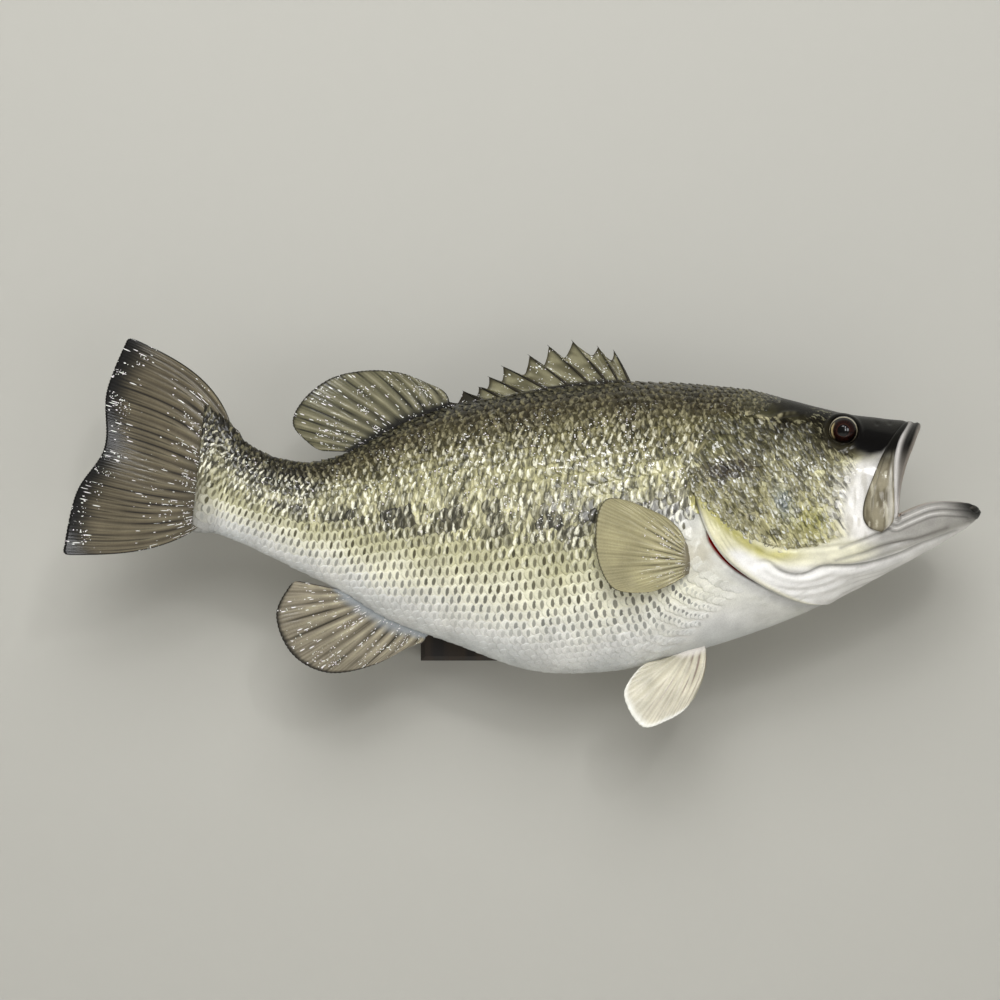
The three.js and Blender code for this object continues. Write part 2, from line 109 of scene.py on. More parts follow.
COVER_TOP = [[135.5, 66], [138.8, 72.3], [144.4, 76.3], [149.3, 82]]
TEMPLE = [[171, 87.5], [177, 85], [182, 86], [188, 88.5], [195, 89.2]]
COVER_STREAK = [[131.5, 46], [137, 37], [145, 27.7], [153, 20.5], [163, 12.5], [172, 7]]
SCALE_FOOT = [
    [133, 44], [141, 33], [152, 25.5], [162.5, 18.5], [172, 14.5], [186, 9.5], [202, 9.5], [211, 12.5],
    [228, 17],
]
MAXILLA_FRONT = [
    [263, 84], [257, 75], [254, 66], [252.8, 57], [253, 48], [253.3, 40], [253.3, 31], [252, 23.5],
    [245.7, 18],
]
MAXILLA_REAR = [
    [259.5, 84.5], [252, 74.5], [246, 64], [241, 52], [237.3, 42.5], [234.8, 34], [234.8, 26], [238.5, 20.5],
    [245.7, 18],
]
LIP_BAND = [
    [263, 84], [259, 77.4], [256.7, 71.5], [255.3, 64.5], [254.3, 57], [253.9, 46], [254.2, 34], [255.2, 27],
]
JAW_SLOPE = 0.36  # rise of the line between the jaw's grey side and the white throat
EYE = {"x": 223, "z": 79, "side": 20.8, "radius": 9.3}


# ---- Shape of the body ----

def row_at(rows, station):
    """Catmull-Rom value of a table of rows at a station, 0 at the first row and 1 for each step."""
    rows = np.asarray(rows, float)
    last = len(rows) - 1
    at = np.clip(station, 0, last)
    i = np.minimum(np.floor(at).astype(int), last - 1)
    t = (at - i)[..., None]
    before, b, c, after = rows[np.maximum(i - 1, 0)], rows[i], rows[i + 1], rows[np.minimum(i + 2, last)]
    pull, push = (c - before) / 2, (after - b) / 2
    return b + pull * t + (3 * (c - b) - 2 * pull - push) * t**2 + (2 * (b - c) + pull + push) * t**3


def curve(points, count):
    """A smooth line of count points through a few."""
    return row_at(points, np.linspace(0, len(points) - 1, count))


def smooth_step(value, low, high):
    """0 below low, 1 above high and an S curve between."""
    t = np.clip((value - low) / (high - low), 0, 1)
    return t * t * (3 - 2 * t)


def hump(value, middle, width):
    """A bell of height 1 at middle."""
    return np.exp(-(((value - middle) / width) ** 2))


def middle_y(x):
    """Y of the curved middle plane: the stand-off, plus a power curve towards head and tail."""
    head = HEAD_SWING * np.maximum(0, (x - HEAD_SWING_FROM) / SWING_LENGTH) ** SWING_POWER
    tail = TAIL_SWING * np.maximum(0, (TAIL_SWING_FROM - x) / SWING_LENGTH) ** SWING_POWER
    return -(STAND_OFF + head + tail)


def place(x, side, z):
    """Points at x and z moved sideways along the normal of the curved middle plane."""
    turn = np.arctan(middle_y(x + 0.5) - middle_y(x - 0.5))
    return np.stack(np.broadcast_arrays(x - side * np.sin(turn), middle_y(x) + side * np.cos(turn), z), -1)


def section_point(rows, station, angle):
    """x, side and z at an angle round a section: height by the sine, width by a power of the cosine."""
    top_x, top_z, low_x, low_z, width, level, upper, lower = np.moveaxis(row_at(rows, station), -1, 0)
    rise = np.sin(angle)
    height = level + np.where(rise > 0, 1 - level, level) * rise
    flank = np.cos(angle)
    side = width * np.sign(flank) * np.abs(flank) ** np.where(rise > 0, upper, lower)
    return low_x + (top_x - low_x) * height, side, low_z + (top_z - low_z) * height


def body_point(rows, station, angle, way):
    """The point in space at a station and angle on one side of the body."""
    x, side, z = section_point(rows, station, angle)
    return place(x, way * side, z)


def body_normal(rows, station, angle, way):
    """Outward normal: the cross product of the steps along and round the body."""
    step = 0.02
    last = len(rows) - 1
    ahead, behind = np.minimum(station + step, last), np.maximum(station - step, 0)
    along = body_point(rows, ahead, angle, way) - body_point(rows, behind, angle, way)
    around = body_point(rows, station, angle + step, way) - body_point(rows, station, angle - step, way)
    normal = -way * np.cross(along, around)
    return normal / np.maximum(np.linalg.norm(normal, axis=-1, keepdims=True), 1e-9)


def locate(rows, x, z):
    """Station and angle of a place in the side view, by halving the range of stations."""
    x, z = np.broadcast_arrays(np.asarray(x, float), np.asarray(z, float))
    low, high = np.zeros(x.shape), np.full(x.shape, len(rows) - 1.0)
    for _ in range(36):
        station = (low + high) / 2
        top_x, top_z, low_x, low_z = np.moveaxis(row_at(rows, station), -1, 0)[:4]
        forward = (x - low_x) * (top_z - low_z) > (z - low_z) * (top_x - low_x)
        low, high = np.where(forward, station, low), np.where(forward, high, station)
    top_x, top_z, low_x, low_z, _, level, _, _ = np.moveaxis(row_at(rows, station), -1, 0)
    reach = np.maximum((top_x - low_x) ** 2 + (top_z - low_z) ** 2, 1e-9)
    height = ((x - low_x) * (top_x - low_x) + (z - low_z) * (top_z - low_z)) / reach
    rise = np.where(height > level, (height - level) / (1 - level), (height - level) / level)
    return station, np.arcsin(np.clip(rise, -1, 1))


def line_distance(x, z, line):
    """Distance to a line in the side view, and how far along it the nearest point is, 0 to 1."""
    best, place_on = np.full(np.shape(x), 1e9), np.zeros(np.shape(x))
    pieces = len(line) - 1
    for k in range(pieces):
        a, run = line[k], line[k + 1] - line[k]
        t = np.clip(((x - a[0]) * run[0] + (z - a[1]) * run[1]) / (run @ run), 0, 1)
        distance = np.hypot(x - a[0] - run[0] * t, z - a[1] - run[1] * t)
        nearer = distance < best
        best = np.where(nearer, distance, best)
        place_on = np.where(nearer, (k + t) / pieces, place_on)
    return best, place_on


def mottle(x, z, size, seed):
    """Smooth noise from 0 to 1 on a lattice of the size given."""
    table = np.random.default_rng(seed).random((61, 61))
    u, v = x / size + 1000, z / size + 1000
    i, j = np.floor(u).astype(int), np.floor(v).astype(int)
    s, t = smooth_step(u - i, 0, 1), smooth_step(v - j, 0, 1)
    low = table[i % 61, j % 61] * (1 - s) + table[(i + 1) % 61, j % 61] * s
    high = table[i % 61, (j + 1) % 61] * (1 - s) + table[(i + 1) % 61, (j + 1) % 61] * s
    return low * (1 - t) + high * t


GILL_LINE = curve(GILL_EDGE, 50)
GILL_STATION, GILL_ANGLE = locate(SECTIONS, *GILL_LINE.T)
GILL_ANGLE[0], GILL_ANGLE[-1] = math.pi / 2, -math.pi / 2
LINES = {
    name: curve(points, count)
    for name, points, count in (
        ("jaw_fold", JAW_FOLD, 48), ("jaw_ridge", JAW_RIDGE, 24), ("jaw_foot", JAW_FOOT, 14),
        ("cheek_foot", CHEEK_FOOT, 20), ("pale_foot", PALE_FOOT, 24), ("cheek_arc", CHEEK_ARC, 24),
        ("preopercle", PREOPERCLE, 20), ("subopercle", SUBOPERCLE, 14), ("cover_top", COVER_TOP, 10),
        ("temple", TEMPLE, 12), ("cover_streak", COVER_STREAK, 20), ("lip", LIP_EDGE, 24),
        ("lip_band", LIP_BAND, 24), ("jaw_rim", JAW_EDGE, 30), ("maxilla_rear", MAXILLA_REAR, 20),
    )
}
# The head's lines as: groove depth, groove width, height of the fold beside it and its distance, in mm.
FOLDS = {
    "jaw_fold": (2.0, 1.1, 1.0, 4.2), "jaw_ridge": (0.9, 0.8, 0.5, 2.6), "jaw_foot": (1.0, 0.9, 0.4, 2.4),
    "cheek_foot": (0.7, 0.8, 0.7, 2.2), "pale_foot": (0.5, 1.0, 0.3, 2.6), "cheek_arc": (0.8, 0.9, 0.6, 2.0),
    "preopercle": (0.9, 0.8, 0.6, 1.9), "subopercle": (0.7, 0.6, 0.5, 1.6), "cover_top": (0.6, 0.8, 0.7, 1.6),
    "temple": (0.5, 0.8, 0.9, 1.7), "cover_streak": (0.35, 0.6, 0.35, 1.6),
}


def distance_to(name, x, z):
    """Distance in the side view to one of the head's named lines."""
    return line_distance(x, z, LINES[name])[0]


def eye_distance(x, z):
    """Distance in the side view to the middle of the eye."""
    return np.hypot(x - EYE["x"], z - EYE["z"])


def above_foot(x, z):
    """Height over the line where the small scales of the head end."""
    return z - np.interp(x, *np.array(SCALE_FOOT).T)


def gill_x(angle):
    """x of the gill cover's edge at an angle round the body."""
    return np.interp(angle, GILL_ANGLE[::-1], GILL_LINE[::-1, 0])


def gill_x_at(z):
    """x of the gill cover's edge at a height in the side view."""
    return np.interp(z, GILL_LINE[::-1, 1], GILL_LINE[::-1, 0])


def flap_at(angle):
    """How far the gill cover stands open: nothing over the nape, full down the side, less underneath."""
    return (
        smooth_step(angle, math.radians(58), math.radians(40)) * (0.6 + 0.4 * smooth_step(angle, -1.5, -1.2))
    )


def gape_at(angle):
    """How far the slit behind the gill cover shows its red lining: only low on the side."""
    opening = smooth_step(angle, math.radians(-2), math.radians(-11))
    return 0.8 * opening * smooth_step(angle, math.radians(-44), math.radians(-25))


def shoulder(x, z):
    """Height in mm of the fleshy foot of the pectoral fin over the body."""
    return 2.4 * hump(np.hypot((x - 131) / 6.5, (z - 2) / 10), 0, 1)


def head_relief(x, z):
    """Height in mm of the head's folds, ridges and sockets over its smooth form."""
    eye = eye_distance(x, z)
    height = 0.9 * hump(eye, 10.4, 1.2) - 5.2 * (1 - smooth_step(eye, 7.7, 9.5))
    for name, (depth, width, fold, beside) in FOLDS.items():
        away, along = line_distance(x, z, LINES[name])
        ends = np.sin(np.pi * np.clip(along, 0.02, 0.98)) ** 0.5
        height += (fold * hump(away, beside, 0.6 * beside) - depth * hump(away, 0, width)) * ends
    lip, band, rim = (distance_to(name, x, z) for name in ("lip", "lip_band", "jaw_rim"))
    height += 0.9 * hump(band, 0, 1.3) - 0.5 * hump(band, 3.0, 1.0) + 0.6 * hump(lip, 0.8, 1.2)
    height += 0.6 * hump(rim, 1.0, 1.6)
    height -= (
        0.7 * hump(np.hypot(x - 251, z - 84.5), 0, 1.3) + 0.7 * hump(np.hypot(x - 243.5, z - 84), 0, 1.2)
    )
    height += 0.5 * hump(np.hypot((x - 214) / 1.6, z - 90), 0, 4)
    throat = smooth_step(-z - 0.3 * (x - 205), 0, 8) * smooth_step(x, 168, 190) * smooth_step(252 - x, 0, 30)
    swirl = np.hypot((x - 196) * 0.8, z - 14)
    height += throat * 0.5 * np.sin(swirl * 2 * np.pi / 4.8 + 2.5 * mottle(x, z, 16, 3)) * mottle(x, z, 8, 4)
    rough = (
        smooth_step(z, 4, 14) * smooth_step(92 - z, 0, 6) * smooth_step(eye, 10, 14)
        * smooth_step(236 - x, 0, 8)
    )
    height += 0.5 * rough * (mottle(x + 0.7 * z, z * 0.6, 2.6, 8) - 0.5)
    jaw = smooth_step(x, 250, 265) * (1 - smooth_step(rim, 2, 12))
    height += 0.18 * jaw * np.sin(rim * 2 * np.pi / 3.6 + 3 * mottle(x, z, 25, 5))
    return height + 0.5 * (mottle(x, z, 9, 7) - 0.5) * smooth_step(eye, 9, 14)


def coat_offset(x, z, angle):
    """Offset of the surface under the scales: sunk by the coat, and the head's own skin over the nape."""
    nape = smooth_step(x - gill_x(angle), 0, 2) * (1 - flap_at(angle))
    return (shoulder(x, z) - COAT) * (1 - nape) + head_offset(x, z, angle) * nape


def head_offset(x, z, angle):
    """Offset of the head's skin along its normal: the relief, and the gill cover's raised rear edge."""
    behind = np.maximum(x - gill_x(angle), 0)
    settled = smooth_step(behind, 1.0, 5.0)
    raised = (
        flap_at(angle) * (0.3 + 1.7 * np.exp(-behind / 14)) + 0.8 * gape_at(angle) * np.exp(-behind / 10)
    )
    return head_relief(x, z) * settled + raised - 0.5


# ---- Colours ----

def linear(code):
    """Linear red, green and blue of a #rrggbb code."""
    value = np.array([int(code[k:k + 2], 16) for k in (1, 3, 5)]) / 255
    return np.where(value < 0.04045, value / 12.92, ((value + 0.055) / 1.055) ** 2.4)


def blend(colour, code, mask):
    """Colour carried towards another where the mask is 1."""
    mask = np.clip(mask, 0, 1)[..., None]
    return colour * (1 - mask) + linear(code) * mask


# Colours of the flank by height, from belly to back: countershading, except the first, greyer colour at the
# very underside, which is painted shade.
FLANK_STEPS = [0, 0.10, 0.26, 0.38, 0.48, 0.58, 0.70, 0.80, 0.90, 1]
FLANK_COLOURS = [
    "#cccfce", "#e2e2de", "#f1efd9", "#c4c19c", "#b2ae89", "#bbb792", "#99956e", "#645f3e", "#3b3523",
    "#1a170f",
]


def layered(colour, *layers):
    """A colour under layers of paint, each a #rrggbb code and its mask."""
    for code, mask in layers:
        colour = blend(colour, code, mask)
    return colour


def flank_paint(x, z, height):
    """Countershading by height, with dark upright blotches along the side and spots above them."""
    wander = height + 0.07 * (mottle(x, z, 14, 11) - 0.5)
    palette = np.array([linear(code) for code in FLANK_COLOURS])
    colour = np.stack([np.interp(wander, FLANK_STEPS, palette[:, k]) for k in range(3)], -1)
    blotch = mottle(x, z * 0.55, 7.5, 13) + 0.35 * mottle(x, z, 4, 14)
    band = hump(height, 0.53, 0.085) * smooth_step(blotch, 0.52, 0.8)
    colour = blend(colour, "#3f3d38", 0.95 * band)
    spots = hump(height, 0.76, 0.12) * smooth_step(mottle(x, z * 0.7, 6, 15), 0.62, 0.85)
    colour = blend(colour, "#3b3524", 0.5 * spots)
    fan = smooth_step(-150 - x, 0, 20) * (0.8 + 0.2 * smooth_step(height, 0.15, 0.5))
    colour = blend(colour, "#4f4a3a", 0.9 * fan)
    stem = smooth_step(-78 - x, 0, 26) * smooth_step(height, 0.54, 0.74)
    colour = blend(colour, "#1a1710", 0.9 * stem)
    colour = colour * (1 - 0.1 * smooth_step(-70 - x, 0, 40))[..., None]
    strip = smooth_step(height, 0.945, 0.985) * smooth_step(x, -98, -84) * smooth_step(96 - x, 0, 12)
    return blend(colour, "#0d0b08", 0.95 * strip)


def head_paint(x, z, colour):
    """The head's colours over the flank's: olive cheek and cover, pale foot and throat, black snout."""
    def near(name, reach, power=2):
        """1 on a named line, falling off over a reach."""
        return np.exp(-(distance_to(name, x, z) / reach) ** power)

    def patch(at_x, at_z, wide, tall, lean=0.0):
        """1 in the middle of a leaning ellipse, falling off outwards."""
        return hump(np.hypot((x - at_x - lean * (z - at_z)) / wide, (z - at_z) / tall), 0, 1)

    shade = (
        np.interp(z, [10, 40, 60, 74, 88], [1.0, 0.88, 0.6, 0.34, 0.2])
        * (0.78 + 0.22 * smooth_step(x, 164, 182))
    )
    olive = linear("#9d9870") * shade[..., None]
    colour = np.where((z > 0)[..., None], olive, colour)
    foot = above_foot(x, z)
    mottled = mottle(x + 0.4 * z, z, 3.2, 17) + 0.5 * mottle(x, z, 1.9, 18)
    colour = layered(
        colour,
        ("#2c2817", 0.6 * smooth_step(mottled, 0.78, 1.12) * smooth_step(foot, 0, 14)),
        ("#d8d4a6", 0.5 * smooth_step(0.56 - mottled, 0, 0.25) * smooth_step(72 - z, 0, 14)),
        ("#62603f", 0.75 * patch(147, 70, 9, 5.5)),
        ("#2a1f12", 0.95 * np.clip(patch(149, 56.5, 9, 5) + patch(163, 59, 10, 5.5), 0, 1)),
        ("#43535d", 0.85 * patch(190.5, 38, 5.5, 10, -0.3)),
        ("#a3a04e", 0.6 * patch(207, 27, 12, 9)),
        ("#2b2517", 0.8 * patch(226, 66, 17, 5.5) * (0.5 + 0.7 * mottle(x, z, 3, 19))),
    )
    brow = (
        smooth_step(z, 64, 70) * smooth_step(x, 196, 212)
        + smooth_step(z - 0.3 * (x - 180), 70, 80) * smooth_step(x, 172, 186)
    )
    colour = blend(colour, "#231f12", 0.95 * brow * (0.55 + 0.6 * mottle(x, z, 2.6, 22)))
    pale = smooth_step(-foot, -1.5, 2.5)
    colour = blend(colour, "#e6e3cc", pale)
    flange = smooth_step(foot, 2, -3) * smooth_step(x, 168, 146)
    colour = blend(colour, "#e1ddba", 0.9 * flange * smooth_step(z, -4, 12))
    lined = smooth_step(np.sin(2.1 * (x - gill_x_at(z)) + 2 * mottle(x, z, 12, 25)), 0.4, 1)
    colour = layered(
        colour,
        ("#918d66", 0.45 * lined * smooth_step(z, -12, 0) * smooth_step(x, 176, 150) * pale),
        ("#a9a352", 0.85 * near("cover_streak", 4.2) * smooth_step(mottle(x, z, 7, 20), 0.05, 0.4)),
        ("#d9d384", 0.85 * patch(183, 4.5, 13, 3.6) * pale),
    )
    lower = z - np.interp(x, *np.array(PALE_FOOT).T)
    colour = blend(colour, "#f6f5f2", smooth_step(-lower, 0, 7) * smooth_step(x - gill_x_at(z), 0, 8))
    chin = smooth_step(JAW_SLOPE * (x - 236) + 4 - z, 0, 4) * smooth_step(x, 208, 226)
    colour = blend(colour, "#efeeeb", chin)
    wrinkles = np.sin(1.9 * (z - JAW_SLOPE * x) + 5 * mottle(x, z * 2, 26, 29)) * mottle(x, z, 9, 34)
    colour = blend(
        colour, "#a6a39c",
        0.3 * smooth_step(wrinkles, 0.25, 0.7) * smooth_step(-lower, 0, 5) * smooth_step(x, 176, 190),
    )
    white = (
        near("maxilla_rear", 14.5, 3.4) * smooth_step(64 - z, 0, 7) * smooth_step(252 - x, 0, 4)
        * smooth_step(z, 8, 16)
    )
    colour = blend(colour, "#f1efeb", white)
    colour = blend(
        colour, "#b5b0a3", 0.6 * white * smooth_step(mottle(x * 1.2, z * 0.3, 2.4, 26), 0.55, 0.85),
    )
    jaw = smooth_step(x, 228, 250) * smooth_step(z - JAW_SLOPE * (x - 236), -1.5, 3)
    colour = blend(colour, "#a8a6a2", 0.95 * jaw)
    rim = distance_to("jaw_rim", x, z)
    streaks = np.sin(rim * 1.6 + 3 * mottle(x, z, 40, 21)) * smooth_step(12 - rim, 0, 5)
    colour = layered(
        colour,
        ("#6b6966", 0.6 * jaw * smooth_step(streaks, 0.2, 1)),
        # painted highlights: the pale streaks along the jaw's rim
        ("#e2e0dd", 0.6 * jaw * smooth_step(-streaks, 0.5, 1) * smooth_step(292 - x, 0, 20)),
        ("#131312", smooth_step(x + 0.9 * (z - 30), 283, 303) * smooth_step(z, 20, 29)),
    )
    for name in ("jaw_fold", "jaw_ridge", "jaw_foot"):
        colour = blend(colour, "#7d7a75", 0.6 * near(name, 1.0) * smooth_step(x, 176, 186))
    for name in ("preopercle", "cheek_arc", "subopercle", "cover_top", "temple"):
        colour = blend(colour, "#2a2516", 0.55 * near(name, 0.9))
    # painted highlights: pale, broken lines along the fold just above these lines
    for name in ("cover_top", "temple", "subopercle"):
        beside = hump(distance_to(name, x, z - 1.4), 0, 0.8)
        colour = blend(colour, "#bdb591", 0.7 * beside * smooth_step(mottle(x, z, 2.2, 28), 0.15, 0.55))
    eye = eye_distance(x, z)
    colour = blend(
        colour, "#1d1a10", 0.85 * smooth_step(19 - eye, 0, 7) * smooth_step(z + 0.25 * (x - 223), 66, 72),
    )
    low_edge = np.interp(
        x, [200, 216, 227, 231, 239, 246, 250, 256, 262], [92, 84, 75, 66.5, 63.5, 65, 69, 75, 70],
    )
    black = smooth_step(z - low_edge, -1.5, 2.5) * smooth_step(x, 204, 226)
    colour = blend(colour, "#050404", black)
    crown = smooth_step(z - 88 + 0.16 * (x - 190), -2, 5) * smooth_step(x, 168, 196)
    colour = blend(colour, "#0b0a07", 0.95 * crown)
    lip = distance_to("lip", x, z)
    upper = smooth_step(x, 247, 252) * smooth_step(z, 26, 32)
    colour = blend(colour, "#6f6a63", upper * (1 - smooth_step(lip, 4.5, 6.5)))
    colour = blend(colour, "#0d0c0a", upper * (1 - smooth_step(lip, 3.0, 6.0)) * smooth_step(z, 50, 72))
    # the pale band on the lip's roll, partly the lip's own colour and partly a painted highlight
    band = near("lip_band", 1.5) * smooth_step(z, 24, 30)
    return blend(colour, "#c4c1bd", 0.95 * band * (1 - 0.5 * smooth_step(z, 74, 84)))


def markings(x, z, station, angle):
    """Painted colour at a place, and its height on the body from 0 at the belly to 1 at the back."""
    _, top_z, _, low_z = np.moveaxis(row_at(SECTIONS, station), -1, 0)[:4]
    height = np.clip((z - low_z) / np.maximum(top_z - low_z, 1), 0, 1)
    flank = flank_paint(x, z, height)
    nape = smooth_step(z, 84, 90) * smooth_step(180 - x, 0, 24)
    forward = x - gill_x(angle)
    breast = smooth_step(forward, -46, -8) * smooth_step(36 - z, 0, 12)
    flank = layered(
        flank,
        ("#e0e0da", 0.85 * breast),
        (
            "#93947f",
            0.2 * breast * smooth_step(mottle(x, z, 2.4, 23) + 0.4 * mottle(x, z, 6, 24), 0.75, 1.0),
        ),
        # painted shade: a grey band on the breast just behind the gill cover's edge, where the cover
        # overhangs it
        ("#9c9ca0", 0.5 * breast * smooth_step(x, 136, 160) * smooth_step(forward, -14, -4)),
    )
    shoulder = hump(np.hypot((x - 136) / 9, (z - 4) / 13), 0, 1)
    flank = blend(flank, "#b3ab94", 0.6 * shoulder * smooth_step(mottle(x, z, 2.2, 35), 0.1, 0.6))
    head = (smooth_step(forward, -1.0, 1.5) * (1 - nape))[..., None]
    return flank * (1 - head) + head_paint(x, z, flank) * head, height


# ---- Meshes ----

def grid_quads(rows, cols, closed):
    """Corner numbers of a rows by cols grid, with its columns joined round when closed."""
    i, j = np.meshgrid(np.arange(rows - 1), np.arange(cols if closed else cols - 1), indexing="ij")
    k = (j + 1) % cols
    return np.stack([i * cols + j, i * cols + k, (i + 1) * cols + k, (i + 1) * cols + j], -1).reshape(-1, 4)


def with_tips(values):
    """Values of closed rings in one list, with the mean of the first and of the last ring for the tips."""
    flat = values.reshape(-1, *values.shape[2:])
    return np.concatenate([flat, [values[0].mean(0), values[-1].mean(0)]])


def with_ends(colour):
    """Colours of closed rings in one list, with one of the first and of the last ring for the tips."""
    return np.concatenate([colour.reshape(-1, 3), colour[0, :1], colour[-1, :1]])


def cap_rings(points):
    """Points and faces of closed rings with a fan over each end."""
    rows, cols = points.shape[:2]
    faces = grid_quads(rows, cols, True)
    a = np.arange(cols)
    b = (a + 1) % cols
    blank = np.full(cols, -1)
    first = np.stack([np.full(cols, rows * cols), b, a, blank], 1)
    last = np.stack([np.full(cols, rows * cols + 1), a + (rows - 1) * cols, b + (rows - 1) * cols, blank], 1)
    return with_tips(points), np.concatenate([faces, first, last])


def flip_faces(faces):
    """The same faces seen from the other side."""
    return np.where(faces[:, 3:] < 0, faces[:, [0, 2, 1, 3]], faces[:, [0, 3, 2, 1]])


def make_piece(name, points, faces, uvs=None, colours=None, values=None):
    """A smooth mesh from points in mm and faces, where -1 marks the missing corner of a triangle."""
    mesh = bpy.data.meshes.new(name)
    kept = faces >= 0
    corners = faces[kept]
    starts = np.concatenate([[0], np.cumsum(kept.sum(1))[:-1]])
    mesh.vertices.add(len(points))
    mesh.vertices.foreach_set("co", (points * MM).astype(np.float32).ravel())
    mesh.loops.add(len(corners))
    mesh.loops.foreach_set("vertex_index", corners.astype(np.int32))
    mesh.polygons.add(len(faces))
    mesh.polygons.foreach_set("loop_start", starts.astype(np.int32))
    mesh.polygons.foreach_set("use_smooth", np.ones(len(faces), bool))
    mesh.update(calc_edges=True)
    for label, uv in (uvs or {}).items():
        layer = mesh.uv_layers.new(name=label)
        at_corners = uv[corners] if len(uv) == len(points) else uv
        layer.uv.foreach_set("vector", at_corners.astype(np.float32).ravel())
    for label, colour in (colours or {}).items():
        layer = mesh.color_attributes.new(name=label, type="FLOAT_COLOR", domain="POINT")
        rgba = np.concatenate([colour, np.ones((len(colour), 1))], 1)
        layer.data.foreach_set("color", rgba.astype(np.float32).ravel())
    for label, value in (values or {}).items():
        layer = mesh.attributes.new(name=label, type="FLOAT", domain="POINT")
        layer.data.foreach_set("value", value.astype(np.float32).ravel())
    piece = bpy.data.objects.new(name, mesh)
    bpy.context.scene.collection.objects.link(piece)
    return piece


def finish_piece(piece, material, nodes=()):
    """Gives a piece its material, hangs it under the root body and hides the solids that it stands for."""
    piece.data.materials.append(material)
    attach(piece, "root")
    if nodes:
        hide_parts(*nodes)
    return piece


# ---- The skin ----

HALF = 128  # columns up one side of the skin
TRUNK_ROWS, HEAD_ROWS, LIP_ROWS, MOUTH_ROWS = 112, 150, 7, 34
# The gill slit, row by row: mm forward of the gill line, mm out from the skin, and mm back where it gapes.
SLIT_ROWS = [
    (0, -0.4, 3.9), (2, -1.8, 4.9), (4.5, -3.2, 5.2), (6, -3.4, 3.2), (6.2, -1.6, 0), (4.5, -0.7, 0),
    (2, -0.2, 0),
    (-0.5, 0.3, 0), (-1.1, 0.8, 0), (-0.8, 1.4, 0), (0, 1.5, 0),
]
STATION_LENGTH = 30  # mm from one section to the next near the gills


def half_angles():
    """Angles of the skin's columns up one side."""
    return np.radians(-90 + 180 * (np.arange(HALF) + 0.5) / HALF)


def rim_lines(angles):
    """Station and angle of the mouth's outer rim for each column: lip above, jaw below the corner."""
    lip_station, lip_angle = locate(SECTIONS, *LINES["lip"].T)
    lip_angle[0] = math.pi / 2
    corner = lip_angle[-1]
    upper = np.interp(angles, lip_angle[::-1], lip_station[::-1])
    along = np.clip((corner - angles) / (corner + math.pi / 2), 0, 1) ** 0.9
    jaw_x, jaw_z = row_at(JAW_EDGE, along * (len(JAW_EDGE) - 1)).T
    jaw_station, jaw_angle = locate(SECTIONS, jaw_x, jaw_z)
    on_lip = angles >= corner
    lip_xz = np.stack(section_point(SECTIONS, upper, angles), -1)[:, [0, 2]]
    xz = np.where(on_lip[:, None], lip_xz, np.stack([jaw_x, jaw_z], -1))
    return np.where(on_lip, upper, jaw_station), np.where(on_lip, angles, jaw_angle), xz, on_lip


def inner_rim(angles, xz, on_lip):
    """Station and angle, in the mouth's hollow, of the inner edge of the lips."""
    x = xz[:, 0] - np.where(on_lip, 1.0, 0.5 + 3.5 * smooth_step(xz[:, 0], 285, 305))
    z = xz[:, 1] - np.where(on_lip, 0, 1.4)
    low, high = np.zeros(len(x)), np.full(len(x), len(MOUTH) - 1.0)
    for _ in range(36):
        station = (low + high) / 2
        forward = x > section_point(MOUTH, station, angles)[0]
        low, high = np.where(forward, station, low), np.where(forward, high, station)
    jaw_station, jaw_angle = locate(MOUTH, x, z)
    jaw_angle = np.maximum(jaw_angle, -math.pi / 2 + 0.02)
    return np.where(on_lip, station, jaw_station), np.where(on_lip, angles, jaw_angle)


def outer_rows(angles, rim_station, rim_angle):
    """Stations, angles and offsets of the skin's rows from the tail root to the rim of the mouth."""
    gill_station = np.interp(angles, GILL_ANGLE[::-1], GILL_STATION[::-1])
    flap = flap_at(angles)
    t = np.linspace(0, 1, TRUNK_ROWS)[:, None] ** 0.9
    stations = [t * (gill_station - SLIT_ROWS[0][2] * gape_at(angles) / STATION_LENGTH)]
    tilts = [np.broadcast_to(angles, (TRUNK_ROWS, HALF))]
    x, _, z = section_point(SECTIONS, stations[0], tilts[0])
    offsets = [shoulder(x, z) - COAT]
    gape = gape_at(angles)
    for k, (forward, out, back) in enumerate(SLIT_ROWS):
        shift = forward * flap - back * gape + 0.04 * (k + 1)
        stations.append((gill_station + shift / STATION_LENGTH)[None])
        tilts.append(angles[None])
        offsets.append((out * flap - COAT + (COAT - 0.5) * (k + 1) / len(SLIT_ROWS))[None])
    t = (np.arange(1, HEAD_ROWS + 1) / HEAD_ROWS)[:, None]
    start = gill_station + 0.5 / STATION_LENGTH
    station = start + (rim_station - start) * t
    tilt = angles + (rim_angle - angles) * t**1.5
    x, _, z = section_point(SECTIONS, station, tilt)
    stations.append(station)
    tilts.append(tilt)
    offsets.append(head_offset(x, z, tilt))
    return np.concatenate(stations), np.concatenate(tilts), np.concatenate(offsets)


def lip_roll(outer, inner):
    """Rows rolled round the edge of the lips, as half circles from the outer to the inner rim."""
    across = (outer - inner) / 2
    along = np.gradient(outer, axis=0)
    out = np.cross(along, across)
    out /= np.maximum(np.linalg.norm(out, axis=1, keepdims=True), 1e-9)
    away = np.sign(out @ np.array([1.0, 0.0, 0.6]))[:, None]
    reach = np.linalg.norm(across, axis=1, keepdims=True)
    turn = (np.arange(1, LIP_ROWS + 1) / (LIP_ROWS + 1) * math.pi)[:, None, None]
    return (outer + inner) / 2 + across * np.cos(turn) + away * out * np.minimum(reach, 1.8) * np.sin(turn)


